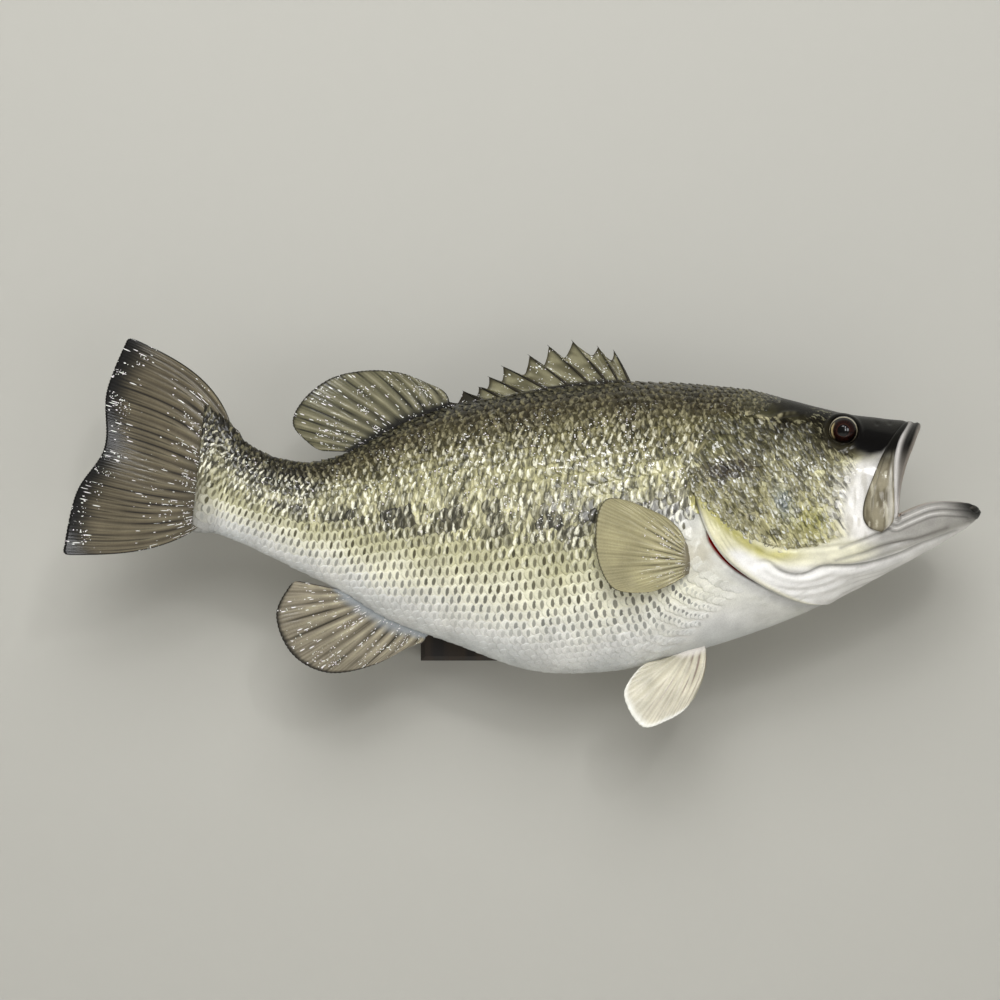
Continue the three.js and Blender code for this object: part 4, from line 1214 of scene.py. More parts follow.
def fin_thickness(fin, u, reach):
    """Thickness: fleshy at the root, thin at the edge, with the rays standing out on both faces."""
    foot, middle, edge = fin["thick"]
    web = (
        edge + (middle - edge) * (1 - smooth_step(reach, 0, 0.85))
        + (foot - middle) * (1 - smooth_step(reach, -0.05, 0.16))
    )
    rays = ray_pattern(u, np.clip(reach, 0, 1), fin["rays"]) * fin["ridge"]
    fade = 1 - 0.65 * smooth_step(reach, 0.35, 0.95)
    ends = np.clip(np.minimum(u, 1 - u) * 60, 0, 1) ** 0.5
    return (web + rays * fade * smooth_step(reach, 0.0, 0.12)) * (0.25 + 0.75 * ends)


def fin_colour(fin, u, reach, length, seed):
    """Paint of a fin: web and rays, dark lines beside the rays, a rim and a foot."""
    rays = ray_pattern(u, np.clip(reach, 0, 1), fin["rays"])
    colour = blend(np.broadcast_to(linear(fin["web"]), (*rays.shape, 3)), fin["ray"], rays)
    count = fin["rays"]
    streak = mottle(u * count * 5, reach * 4, 1.0, seed) * mottle(u * count * 9, reach * 2.5, 1.0, seed + 1)
    fade_from, fade_to, loss = fin["lines"]
    strength = (
        (0.35 + 0.65 * smooth_step(streak, 0.15, 0.4)) * (1 - loss * smooth_step(reach, fade_from, fade_to))
    )
    strength = strength * (1 - fin.get("plain", 0) * smooth_step(u, 0.4, 0.7))
    lit, lit_at, lit_over = fin["lit"]
    ridge = hump((u * count) % 1, 0.55, 0.15) * hump(reach, lit_at, lit_over)
    colour = blend(
        colour, "#d3ccab", lit * ridge * (0.4 + 0.8 * mottle(u * count, reach * 9, 1.0, seed + 5)),
    )
    colour = blend(colour, fin["line"], ray_lines(u, reach, count, fin["parts"]) * strength)
    colour = colour * (0.86 + 0.28 * mottle(u * 9, reach * 5, 1.0, seed + 2))[..., None]
    colour = blend(
        colour, fin["foot"],
        1 - smooth_step(reach, 0, fin["foot_width"] * (0.75 + 0.5 * mottle(u * 30, reach, 1, seed + 3))),
    )
    rim = smooth_step(
        reach, 1 - fin["rim_width"] * (1.7 + 1.1 * mottle(u * 40, reach, 1, seed + 4)),
        1 - 0.25 * fin["rim_width"],
    )
    colour = blend(colour, fin["rim"], rim)
    to_edge = np.minimum((1 - reach) * length, np.minimum(u, 1 - u) * 70)
    return blend(
        colour, fin["rim"],
        (1 - smooth_step(to_edge, fin["rim_line"] * 0.4, fin["rim_line"] + 0.01)) * (fin["rim_line"] > 0),
    )


def sheet_faces(rows, cols):
    """Faces of a closed thin sheet whose two faces are grids, numbered one after the other."""
    face = grid_quads(rows, cols, False)
    total = rows * cols
    j = np.arange(cols - 1)
    i = np.arange(rows - 1)
    foot = np.stack([j + 1, j, j + total, j + 1 + total], 1)
    edge = foot[:, ::-1] + (rows - 1) * cols
    first = np.stack([i * cols, (i + 1) * cols, (i + 1) * cols + total, i * cols + total], 1)
    last = first[:, ::-1] + cols - 1
    return np.concatenate([face, face[:, ::-1] + total, foot, edge, first, last])


def outward(points, faces):
    """The faces turned so that the closed mesh holds a positive volume."""
    corner = points[faces[:, :3]]
    volume = (corner[:, 0] * np.cross(corner[:, 1], corner[:, 2])).sum()
    quads = faces[faces[:, 3] >= 0]
    corner = points[quads[:, [0, 2, 3]]]
    volume += (corner[:, 0] * np.cross(corner[:, 1], corner[:, 2])).sum()
    return faces if volume > 0 else flip_faces(faces)


def make_fin(name, nodes, fin, material, seed, way=NEAR, shift=0):
    """One fin: two faces either side of its middle sheet, with rays, wave, paint and a ray map."""
    cols, rows = fin["grid"]
    u, v = np.meshgrid(np.linspace(0, 1, cols), np.linspace(0, 1, rows) ** 0.9, indexing="xy")
    shaped = dict(fin)
    if shift:
        shaped["edge"] = [[x + shift, z, side] for x, z, side in fin["edge"]]
    x, side, z, reach, length = fin_surface(shaped, u, v)
    frill = 0.3 * (ray_pattern(u, np.ones_like(u), fin["rays"]) - 1) * smooth_step(reach, 0.9, 1)
    start_x, start_z = x[:1], z[:1]
    far = np.maximum(np.hypot(x - start_x, z - start_z), 1e-6)
    x, z = x + (x - start_x) / far * frill, z + (z - start_z) / far * frill
    wave = fin["wave"] * np.sin(u * 11 + 3 * reach + seed) * smooth_step(reach, 0.1, 1)
    half = fin_thickness(fin, u, reach) / 2
    mirror = -1 if way == FAR else 1
    faces_xyz = [place(x, mirror * (side + wave) + face * half, z) for face in (-1, 1)]
    points = np.stack(faces_xyz).reshape(-1, 3)
    faces = outward(points, sheet_faces(rows, cols))
    colour = fin_colour(fin, u, reach, length, seed)
    colours = np.stack([colour, colour]).reshape(-1, 3)
    rays = np.stack([u * fin["rays"], reach], -1).reshape(-1, 2)
    glint = np.interp(reach, GLINT_AT, fin["glint"])
    glint = np.concatenate([glint.ravel(), glint.ravel()])
    piece = make_piece(
        name, points, faces, {"Rays": np.concatenate([rays, rays])}, {"Paint": colours}, {"Glint": glint},
    )
    return finish_piece(piece, material, nodes)


def make_spiny_dorsal(material):
    """The spiny fin's web: panels that sag between one spine's tip and the next one's foot."""
    held, per_panel = 0.95, 30
    roots, edges = [], []
    count = len(SPINES)
    for k in range(count):
        x, z, tip_x, tip_z, dip_x, dip_z = SPINES[k]
        top = np.array([x + (tip_x - x) * held, z + (tip_z - z) * held])
        following = SPINES[k + 1] if k + 1 < count else LAST_PANEL_END
        after = following[:2] + (following[2:4] - following[:2]) * held
        dip = np.array([dip_x, dip_z])
        t = np.linspace(0, 1, per_panel, endpoint=False)[:, None]
        rise = dip + 0.5 * (after - dip) - np.array([0, 0.08]) * np.linalg.norm(after - dip)
        dip = dip + np.array([1.0, -1.6])
        path = [top, top * 0.4 + dip * 0.6 + np.array([0.9, 0]), dip, rise, after]
        edges.append(row_at(path, t[:, 0] * 4))
        roots.append(np.array([x, z]) + (following[:2] - np.array([x, z])) * t)
    root, edge = np.concatenate(roots), np.concatenate(edges)
    rows, cols = 22, len(root)
    v = np.linspace(0, 1, rows)[:, None]
    run = edge - root
    length = np.maximum(np.hypot(run[:, 0], run[:, 1]), 1.0)
    sink = 7
    reach = v * (length + sink) / length - sink / length
    x, z = root[:, 0] + run[:, 0] * reach, root[:, 1] + run[:, 1] * reach
    phase = (np.arange(cols) / per_panel)[None, :]
    billow = 0.55 * np.sin(2 * math.pi * phase) * smooth_step(reach, 0, 1)
    half = 0.5 * (0.75 + 1.2 * (1 - smooth_step(reach, -0.1, 0.2)))
    points = np.stack([place(x, billow + face * half, z) for face in (-1, 1)]).reshape(-1, 3)
    faces = outward(points, sheet_faces(rows, cols))
    colour = np.broadcast_to(linear("#817d61"), (rows, cols, 3))
    colour = blend(colour, "#5b573f", smooth_step(mottle(x * 0.7 + z, z, 4, 41), 0.3, 0.8))
    near_spine = hump((phase + 0.5) % 1 - 0.5, 0, 0.08)
    colour = layered(
        colour,
        ("#14110c", near_spine * np.ones_like(reach) * 0.9),
        ("#14110c", 0.9 * smooth_step(5 - x, 0, 8) * np.ones_like(reach)),
        ("#2b261b", smooth_step((reach - 1) * length, -2.6, -0.6) * 0.85),
        ("#1b1811", 1 - smooth_step(reach, -0.05, 0.1)),
    )
    rays = np.stack(np.broadcast_arrays(phase * 2, reach), -1).reshape(-1, 2)
    glint = np.broadcast_to(0.9 - 0.3 * smooth_step(reach, 0.1, 0.5), (2, rows, cols)).ravel()
    piece = make_piece(
        "dorsal_web", points, faces, {"Rays": np.concatenate([rays, rays])},
        {"Paint": np.concatenate([colour, colour]).reshape(-1, 3)}, {"Glint": glint},
    )
    return finish_piece(piece, material, ["dorsal_fin_spiny"])


def make_spines(material):
    """Nine tapered spines joined in one mesh: rings round straight lines, pointed at the tip."""
    rows, cols = 20, 14
    t = np.linspace(0, 1, rows)[:, None]
    turn = (np.arange(cols) / cols * 2 * math.pi)[None, :]
    all_points, all_faces, paints = [], [], []
    for x, z, tip_x, tip_z, _, _ in SPINES:
        foot = np.array([x + (x - tip_x) * SPINE_FOOT[0], z - SPINE_FOOT[1]])
        tip = np.array([tip_x, tip_z])
        run = (tip - foot) / np.linalg.norm(tip - foot)
        curve_out = 0.9 * np.sin(math.pi * t)
        centre = foot + (tip - foot) * t + np.array([-run[1], run[0]]) * -curve_out * 0.6
        radius = 1.15 * (1 - t) ** 0.6 * (1 - 0.2 * t) + 0.06
        out = np.cos(turn) * radius
        ring_x = centre[:, :1] - run[1] * out
        ring_z = centre[:, 1:] + run[0] * out
        points = place(ring_x, np.sin(turn) * radius, ring_z)
        flat, faces = cap_rings(points)
        faces = outward(flat, faces)
        all_faces.append(np.where(faces < 0, -1, faces + sum(len(p) for p in all_points)))
        all_points.append(flat)
        paint = blend(
            np.broadcast_to(linear("#2a2519"), (rows, cols, 3)), "#0b0907",
            smooth_step(t, 0.3, 0.8) * np.ones(cols),
        )
        paints.append(with_ends(paint))
    points = np.concatenate(all_points)
    rays = np.zeros((len(points), 2))
    piece = make_piece(
        "dorsal_spines", points, np.concatenate(all_faces), {"Rays": rays},
        {"Paint": np.concatenate(paints)},
        {"Glint": np.zeros(len(points))},
    )
    return finish_piece(piece, material)


# ---- Materials ----

FLANK_LEAN, FACE_LEAN = -0.15, 0.6  # how far the brush strokes lean back, as a slope
FLECKS = ((5.5, 28.0, 0.1), (6.5, 8.0, 0.24))  # cells across a ray and along it, and the share that shine


def add_node(tree, kind, inputs=None, **settings):
    """Adds a node, sets its settings, and links or sets its inputs."""
    node = tree.nodes.new(kind)
    for key, value in settings.items():
        setattr(node, key, value)
    for key, value in (inputs or {}).items():
        if isinstance(value, bpy.types.NodeSocket):
            tree.links.new(value, node.inputs[key])
        else:
            node.inputs[key].default_value = value
    return node


def mix(tree, factor, first, second, how="MIX"):
    """A colour mixed from two."""
    node = add_node(
        tree, "ShaderNodeMix", {0: factor, 6: first, 7: second}, data_type="RGBA", blend_type=how,
    )
    return node.outputs[2]


def math_node(tree, operation, first, second=0.0, third=0.0):
    """The value of a math node."""
    return add_node(tree, "ShaderNodeMath", {0: first, 1: second, 2: third}, operation=operation).outputs[0]


def remap(tree, value, low, high, to_low=0.0, to_high=1.0):
    """A value carried smoothly from one range to another."""
    node = add_node(
        tree, "ShaderNodeMapRange", {0: value, 1: low, 2: high, 3: to_low, 4: to_high},
        interpolation_type="SMOOTHSTEP",
    )
    return node.outputs[0]


def product(tree, *values):
    """Values multiplied together."""
    result = values[0]
    for value in values[1:]:
        result = math_node(tree, "MULTIPLY", result, value)
    return result


def scaled(tree, colour, factor):
    """A colour made lighter or darker by a factor."""
    node = add_node(tree, "ShaderNodeVectorMath", {0: colour, "Scale": factor}, operation="SCALE")
    return node.outputs[0]


def object_place(tree):
    """The place on the object, in metres."""
    return add_node(tree, "ShaderNodeTexCoord").outputs["Object"]


def noise(tree, at, scale, detail, **more):
    """A soft noise from 0 to 1."""
    inputs = {"Vector": at, "Scale": scale, "Detail": detail, **more}
    return add_node(tree, "ShaderNodeTexNoise", inputs).outputs["Fac"]


def attribute(tree, name, output="Fac"):
    """A value or colour held by the mesh."""
    return add_node(tree, "ShaderNodeAttribute", attribute_name=name).outputs[output]


def band(tree, value, start, full, until, end):
    """1 while a value is between full and until, 0 before start and after end."""
    return product(tree, remap(tree, value, start, full), remap(tree, value, until, end, 1.0, 0.0))


def reshuffled(tree, chance, factor):
    """Another chance from 0 to 1 made from a first."""
    return math_node(tree, "FRACT", product(tree, chance, factor))


def colour4(code):
    """A #rrggbb code as linear red, green, blue and 1."""
    return (*linear(code), 1.0)


def new_group(name, inputs, outputs):
    """An empty shader node group with its sockets, and its input and output nodes."""
    tree = bpy.data.node_groups.new(name, "ShaderNodeTree")
    for label, kind, value in inputs:
        socket = tree.interface.new_socket(label, in_out="INPUT", socket_type=kind)
        if value is not None:
            socket.default_value = value
    for label, kind in outputs:
        tree.interface.new_socket(label, in_out="OUTPUT", socket_type=kind)
    return tree, tree.nodes.new("NodeGroupInput"), tree.nodes.new("NodeGroupOutput")


def glitter_group():
    """Glitter in the lacquer: thin flakes in random cells, denser where a slow noise is high."""
    tree, given, out = new_group(
        "glitter", [("Amount", "NodeSocketFloat", 0.5), ("Flake Size", "NodeSocketFloat", 0.7)],
        [("Mask", "NodeSocketFloat"), ("Color", "NodeSocketColor")],
    )
    place_at = object_place(tree)
    scale = math_node(tree, "DIVIDE", 1000.0, given.outputs["Flake Size"])
    cells = add_node(tree, "ShaderNodeTexVoronoi", {"Vector": place_at, "Scale": scale, "Randomness": 1.0})
    parts = add_node(tree, "ShaderNodeSeparateColor", {0: cells.outputs["Color"]})
    drift = noise(tree, place_at, 70.0, 2.0)
    dense = remap(tree, drift, 0.42, 0.66)
    level = product(tree, dense, given.outputs["Amount"])
    threshold = math_node(tree, "SUBTRACT", 1.0, product(tree, level, 0.3))
    picked = math_node(tree, "GREATER_THAN", parts.outputs[0], threshold)
    tight = math_node(tree, "LESS_THAN", cells.outputs["Distance"], 0.5)
    tint = mix(tree, parts.outputs[1], colour4("#e9f0e2"), colour4("#f3e9f2"))
    tree.links.new(product(tree, picked, tight), out.inputs["Mask"])
    tree.links.new(tint, out.inputs["Color"])
    return tree


def mottle_group():
    """Uneven hand painting: two noises that lighten and darken a colour, and a fine skin height."""
    tree, given, out = new_group(
        "hand painting",
        [("Color", "NodeSocketColor", (1, 1, 1, 1)), ("Amount", "NodeSocketFloat", 0.3),
         ("Grain Size", "NodeSocketFloat", 0.8)],
        [("Color", "NodeSocketColor"), ("Height", "NodeSocketFloat")],
    )
    place_at = object_place(tree)
    broad = noise(tree, place_at, 90.0, 3.0)
    fine_scale = math_node(tree, "DIVIDE", 1000.0, given.outputs["Grain Size"])
    fine = noise(tree, place_at, fine_scale, 2.0, Roughness=0.6)
    both = math_node(tree, "ADD", product(tree, broad, 0.6), product(tree, fine, 0.4))
    low = math_node(tree, "SUBTRACT", 1.0, given.outputs["Amount"])
    high = math_node(tree, "ADD", 1.0, given.outputs["Amount"])
    shade = add_node(tree, "ShaderNodeMapRange", {0: both, 1: 0.3, 2: 0.7, 3: low, 4: high}).outputs[0]
    tree.links.new(scaled(tree, given.outputs["Color"], shade), out.inputs["Color"])
    tree.links.new(fine, out.inputs["Height"])
    return tree


def stroke_group():
    """Brush strokes: a wavy noise drawn out upright and leaned, pale where it is high, dark where low."""
    tree, given, out = new_group(
        "brush strokes",
        [
            ("Color", "NodeSocketColor", (1, 1, 1, 1)), ("Amount", "NodeSocketFloat", 0.5),
            ("Lean", "NodeSocketFloat", 0.0),
        ],
        [("Color", "NodeSocketColor"), ("Strokes", "NodeSocketFloat")],
    )
    place_at = object_place(tree)
    parts = add_node(tree, "ShaderNodeSeparateXYZ", {0: place_at})
    leaned = math_node(tree, "MULTIPLY_ADD", parts.outputs[2], given.outputs["Lean"], parts.outputs[0])
    short = product(tree, parts.outputs[2], 0.32)
    drawn = add_node(tree, "ShaderNodeCombineXYZ", {0: leaned, 1: parts.outputs[1], 2: short}).outputs[0]
    strokes = noise(tree, drawn, 430.0, 3.0, Roughness=0.55, Distortion=0.6)
    lighter = product(tree, remap(tree, strokes, 0.52, 0.64), given.outputs["Amount"], 0.85)
    darker = product(tree, remap(tree, strokes, 0.49, 0.38), given.outputs["Amount"], 0.9)
    colour = given.outputs["Color"]
    paled = mix(tree, lighter, colour, mix(tree, 0.35, scaled(tree, colour, 1.9), colour4("#cfcaa4")))
    tree.links.new(mix(tree, darker, paled, scaled(tree, colour, 0.22)), out.inputs["Color"])
    tree.links.new(strokes, out.inputs["Strokes"])
    return tree


def ellipse(tree, back, across, centre, reach_back, reach_across):
    """How far a place on a scale is from an ellipse's middle, 1 on its outline."""
    x = math_node(tree, "DIVIDE", math_node(tree, "SUBTRACT", back, centre), reach_back)
    y = math_node(tree, "DIVIDE", across, reach_across)
    return math_node(tree, "ADD", math_node(tree, "POWER", x, 2.0), math_node(tree, "POWER", y, 2.0))


def scale_group():
    """Marks on one scale, from its lie: a dark dash at the foot of its bare part and a pale flame.

    The dash is a small upright ellipse, gone on the white underside; besides dark paint, it stands
    for a painted shadow where the scale ahead overlaps. The flame is a pale stroke near the scale's
    rear edge, narrow at its ends and leaning by chance; it is partly cream paint and partly a painted
    highlight, strongest on the middle of the flank. It comes in above the pale belly and turns from
    cream to khaki towards the back.
    """
    tree, given, out = new_group(
        "scale marks",
        [("Color", "NodeSocketColor", (1, 1, 1, 1)), ("Lie", "NodeSocketVector", (0, 0, 0)),
         ("Height", "NodeSocketFloat", 0.5), ("Chance", "NodeSocketFloat", 0.5),
         ("Strokes", "NodeSocketFloat", 0.5),
         ("Dashes", "NodeSocketFloat", 1.0), ("Silver", "NodeSocketFloat", 0.0)],
        [("Color", "NodeSocketColor"), ("Grooves", "NodeSocketFloat")],
    )
    parts = add_node(tree, "ShaderNodeSeparateXYZ", {0: given.outputs["Lie"]})
    back, across = parts.outputs[0], math_node(tree, "MULTIPLY_ADD", parts.outputs[1], 2.0, -1.0)
    height, chance = given.outputs["Height"], given.outputs["Chance"]
    upward = remap(tree, height, 0.36, 0.54)
    reach_back = remap(tree, height, 0.22, 0.42, 0.1, 0.09)
    reach_across = remap(tree, height, 0.22, 0.42, 0.6, 0.52)
    place_at = object_place(tree)
    ragged = noise(tree, place_at, 640.0, 1.0)
    spot_far = ellipse(tree, back, across, 0.655, reach_back, reach_across)
    spot = remap(tree, math_node(tree, "MULTIPLY_ADD", ragged, 0.9, spot_far), 0.95, 1.85, 1.0, 0.0)
    low_only = remap(tree, height, 0.46, 0.58, 1.0, 0.45)
    shown = product(
        tree, spot, remap(tree, height, 0.04, 0.19), remap(tree, chance, 0.0, 1.0, 0.75, 1.0), low_only,
        given.outputs["Dashes"],
    )
    # the dash: dark paint and a painted shadow of the overlapping scale ahead
    dash = mix(tree, upward, colour4("#4f4b35"), colour4("#2c2a1b"))
    low_dash = mix(tree, remap(tree, height, 0.12, 0.3), colour4("#8f918c"), dash)
    spotted = mix(tree, shown, given.outputs["Color"], low_dash)
    second_chance = reshuffled(tree, chance, 7.31)
    third_chance = reshuffled(tree, chance, 17.7)
    shifted = math_node(tree, "ADD", across, remap(tree, second_chance, 0.0, 1.0, -0.16, 0.16))
    lean = math_node(tree, "MULTIPLY_ADD", shifted, remap(tree, third_chance, 0.0, 1.0, -0.2, 0.06), 0.85)
    taper = remap(tree, shifted, -0.55, 0.8, 0.115, 0.03)
    flame_far = ellipse(tree, math_node(tree, "SUBTRACT", back, lean), shifted, 0.0, taper, 0.78)
    flame = remap(tree, math_node(tree, "MULTIPLY_ADD", ragged, 2.6, flame_far), 1.3, 2.7, 1.0, 0.0)
    fourth_chance = reshuffled(tree, chance, 31.3)
    beside = math_node(tree, "ADD", across, remap(tree, fourth_chance, 0.0, 1.0, -0.7, 0.7))
    spare_far = ellipse(tree, back, beside, 0.74, 0.055, 0.36)
    spare = remap(tree, math_node(tree, "MULTIPLY_ADD", ragged, 2.0, spare_far), 1.1, 2.2, 0.75, 0.0)
    fade = product(tree, remap(tree, height, 0.3, 0.5), remap(tree, height, 0.78, 0.95, 1.0, 0.3))
    tone = add_node(tree, "ShaderNodeSeparateColor", {0: given.outputs["Color"]}).outputs[1]
    in_blotch = product(tree, remap(tree, tone, 0.14, 0.05), remap(tree, height, 0.66, 0.58))
    lit = product(
        tree, remap(tree, given.outputs["Strokes"], 0.36, 0.56, 0.35, 1.0),
        remap(tree, in_blotch, 0.0, 1.0, 1.0, 0.45),
    )
    # the flames: cream paint and a painted highlight, faded below the flank's middle and towards the back
    flame_shown = product(
        tree, math_node(tree, "MAXIMUM", flame, spare), fade, remap(tree, chance, 0.0, 0.8, 0.25, 1.0), lit)
    cream = mix(tree, given.outputs["Silver"], colour4("#fdfbe6"), colour4("#e6ebf3"))
    flame_colour = mix(tree, remap(tree, height, 0.72, 0.93), cream, colour4("#a1986f"))
    flamed = mix(tree, flame_shown, spotted, flame_colour)
    angle = math_node(tree, "ARCTAN2", across, math_node(tree, "ADD", back, 0.15))
    grooves = math_node(tree, "SINE", product(tree, angle, 46.0))
    tree.links.new(flamed, out.inputs["Color"])
    tree.links.new(product(tree, grooves, remap(tree, back, 0.5, 0.9)), out.inputs["Grooves"])
    return tree


def new_material(name, **sockets):
    """A material with its Principled shader, whose named sockets are set."""
    material = bpy.data.materials.new(name)
    material.use_nodes = True
    tree = material.node_tree
    shader = tree.nodes["Principled BSDF"]
    for label, value in sockets.items():
        shader.inputs[label.replace("_", " ")].default_value = value
    return material, tree, shader


def bump(tree, shader, height, strength, distance):
    """Feeds a height to the shader's normal."""
    node = add_node(tree, "ShaderNodeBump", {"Height": height, "Strength": strength, "Distance": distance})
    tree.links.new(node.outputs[0], shader.inputs["Normal"])


def group_node(tree, group, **inputs):
    """A node that runs a group, with its named inputs set or linked."""
    named = {label.replace("_", " "): value for label, value in inputs.items()}
    return add_node(tree, "ShaderNodeGroup", named, node_tree=group)


def hand_painted(tree, groups, amount):
    """The piece's own painted colour, made uneven."""
    return group_node(tree, groups["mottle"], Color=attribute(tree, "Paint", "Color"), Amount=amount)


def brush(tree, groups, colour, amount, lean):
    """A colour with the brush strokes laid over it, and the strokes' noise."""
    node = group_node(tree, groups["stroke"], Color=colour, Amount=amount, Lean=lean)
    return node.outputs["Color"], node.outputs["Strokes"]


def skin_material(groups):
    """Painted skin under gloss lacquer, plain inside the mouth."""
    material, tree, shader = new_material(
        "lacquered_skin", Roughness=0.45, Specular_IOR_Level=0.1, Coat_Weight=0.3, Coat_Roughness=0.07,
    )
    painted = hand_painted(tree, groups, 0.16)
    amount = attribute(tree, "Brushed")
    stroked, strokes = brush(tree, groups, painted.outputs["Color"], amount, FACE_LEAN)
    tree.links.new(stroked, shader.inputs["Base Color"])
    rough = math_node(tree, "MULTIPLY_ADD", product(tree, strokes, amount), 1.5, painted.outputs["Height"])
    bump(tree, shader, rough, 0.3, 0.0005)
    return material


def scale_material(groups, name, lean, dashes, silver):
    """Lacquered scales with their brush strokes, dashes, flames and glitter."""
    material, tree, shader = new_material(
        name, Roughness=0.4, Specular_IOR_Level=0.3, Coat_Weight=0.5, Coat_Roughness=0.1,
    )
    lie = add_node(tree, "ShaderNodeUVMap", uv_map="Lie").outputs[0]
    painted = hand_painted(tree, groups, 0.22)
    height = attribute(tree, "Height")
    amount = product(tree, remap(tree, height, 0.32, 0.52), remap(tree, height, 0.8, 0.94, 1.0, 0.6))
    amount = math_node(tree, "MAXIMUM", amount, 1.0 - dashes)
    stroked, strokes = brush(tree, groups, painted.outputs["Color"], amount, lean)
    marks = group_node(
        tree, groups["scale"], Color=stroked, Strokes=strokes, Lie=lie, Height=height,
        Chance=attribute(tree, "Chance"), Dashes=dashes, Silver=silver,
    )
    flakes = group_node(tree, groups["glitter"], Amount=0.4, Flake_Size=0.9)
    shown = product(tree, remap(tree, height, 0.42, 0.55), remap(tree, height, 0.96, 0.84))
    sparkle = product(tree, flakes.outputs["Mask"], shown)
    tree.links.new(
        mix(tree, sparkle, marks.outputs["Color"], flakes.outputs["Color"]), shader.inputs["Base Color"],
    )
    height = math_node(tree, "ADD", product(tree, marks.outputs["Grooves"], 0.35), painted.outputs["Height"])
    bump(tree, shader, height, 0.35, 0.0003)
    return material


def fin_material(groups):
    """Lacquered fin web and rays, with cross joints on the rays and flecks of glitter along them."""
    material, tree, shader = new_material(
        "lacquered_fin", Roughness=0.48, Specular_IOR_Level=0.25, Coat_Weight=0.4, Coat_Roughness=0.1,
    )
    rays = add_node(tree, "ShaderNodeUVMap", uv_map="Rays").outputs[0]
    painted = hand_painted(tree, groups, 0.2)
    flakes = group_node(tree, groups["glitter"], Amount=0.6)
    glint = attribute(tree, "Glint")
    drift = noise(tree, rays, 1.7, 2.0)
    level = product(tree, glint, remap(tree, drift, 0.42, 0.6))
    flecks = product(tree, flakes.outputs["Mask"], math_node(tree, "GREATER_THAN", level, 0.4))
    for cells_across, cells_along, share in FLECKS:
        spread = add_node(
            tree, "ShaderNodeVectorMath", {0: rays, 1: (cells_across, cells_along, 1.0)},
            operation="MULTIPLY",
        ).outputs[0]
        cells = add_node(
            tree, "ShaderNodeTexVoronoi", {"Vector": spread, "Scale": 1.0, "Randomness": 0.8},
            voronoi_dimensions="2D",
        )
        chosen = add_node(tree, "ShaderNodeSeparateColor", {0: cells.outputs["Color"]}).outputs[0]
        picked = math_node(tree, "LESS_THAN", chosen, product(tree, level, share))
        dots = product(tree, picked, remap(tree, cells.outputs["Distance"], 0.3, 0.18))
        flecks = math_node(tree, "MAXIMUM", flecks, dots)
    tree.links.new(
        mix(tree, flecks, painted.outputs["Color"], flakes.outputs["Color"]), shader.inputs["Base Color"],
    )
    along = add_node(tree, "ShaderNodeSeparateXYZ", {0: rays}).outputs[1]
    joints = math_node(tree, "SINE", product(tree, along, 190.0))
    height = math_node(tree, "ADD", product(tree, joints, 0.1), painted.outputs["Height"])
    bump(tree, shader, height, 0.3, 0.0003)
    return material


def eye_material():
    """A glass eye: dark pupil, red-brown iris with streaks, a thin pale ring and a dark edge."""
    material, tree, shader = new_material(
        "glass_eye", Roughness=0.3, Coat_Weight=0.8, Coat_Roughness=0.0, Specular_IOR_Level=0.1,
    )
    iris = add_node(tree, "ShaderNodeUVMap", uv_map="Iris").outputs[0]
    centred = add_node(
        tree, "ShaderNodeVectorMath", {0: iris, 1: (2.0, 2.0, 0.0), 2: (-1.0, -1.0, 0.0)},
        operation="MULTIPLY_ADD",
    ).outputs[0]
    radius = add_node(tree, "ShaderNodeVectorMath", {0: centred}, operation="LENGTH").outputs["Value"]
    parts = add_node(tree, "ShaderNodeSeparateXYZ", {0: centred})
    turn = math_node(tree, "ARCTAN2", parts.outputs[1], parts.outputs[0])
    streaks = add_node(
        tree, "ShaderNodeTexNoise", {"W": product(tree, turn, 7.0), "Scale": 1.0, "Detail": 2.0},
        noise_dimensions="1D",
    ).outputs["Fac"]
    brown = mix(tree, remap(tree, streaks, 0.35, 0.65), colour4("#0f0504"), colour4("#260d08"))
    dark_out = mix(tree, remap(tree, radius, 0.62, 0.8), brown, colour4("#0d0705"))
    ring = band(tree, radius, 0.40, 0.43, 0.44, 0.47)
    ringed = mix(tree, ring, dark_out, colour4("#371a0f"))
    pupil = mix(tree, remap(tree, radius, 0.39, 0.42), colour4("#030202"), ringed)
    # painted highlight: a pale crescent across the iris on its rear side
    crescent_highlight = band(tree, radius, 0.66, 0.74, 0.78, 0.85)
    behind = remap(tree, parts.outputs[0], 0.5, 0.74)
    pupil = mix(tree, product(tree, crescent_highlight, behind), pupil, colour4("#b5a377"))
    outer = band(tree, radius, 0.87, 0.9, 0.92, 0.95)
    tree.links.new(mix(tree, outer, pupil, colour4("#b3aa90")), shader.inputs["Base Color"])
    return material


def wood_material():
    """Dark stained wood: rings drawn out along the block by stretched noise."""
    material, tree, shader = new_material("stained_wood", Roughness=0.5)
    place_at = object_place(tree)
    drawn = add_node(
        tree, "ShaderNodeVectorMath", {0: place_at, 1: (160.0, 160.0, 9.0)}, operation="MULTIPLY").outputs[0]
    grain = noise(tree, drawn, 1.0, 4.0)
    tree.links.new(
        mix(tree, remap(tree, grain, 0.35, 0.7), colour4("#17120e"), colour4("#33281f")),
        shader.inputs["Base Color"],
    )
    tree.links.new(remap(tree, grain, 0.3, 0.7, 0.4, 0.62), shader.inputs["Roughness"])
    bump(tree, shader, grain, 0.3, 0.0006)
    return material


def plate_material():
    """Zinc-plated steel with cloudy crystals."""
    material, tree, shader = new_material("zinc_plate", Metallic=1.0, Roughness=0.35)
    place_at = object_place(tree)
    cloud = add_node(tree, "ShaderNodeTexVoronoi", {"Vector": place_at, "Scale": 260.0}).outputs["Distance"]
    tree.links.new(
        mix(tree, remap(tree, cloud, 0.0, 0.7), colour4("#c4c6c8"), colour4("#999b9e")),
        shader.inputs["Base Color"],
    )
    tree.links.new(remap(tree, cloud, 0.0, 0.7, 0.28, 0.45), shader.inputs["Roughness"])
    return material


# ---- Stage ----

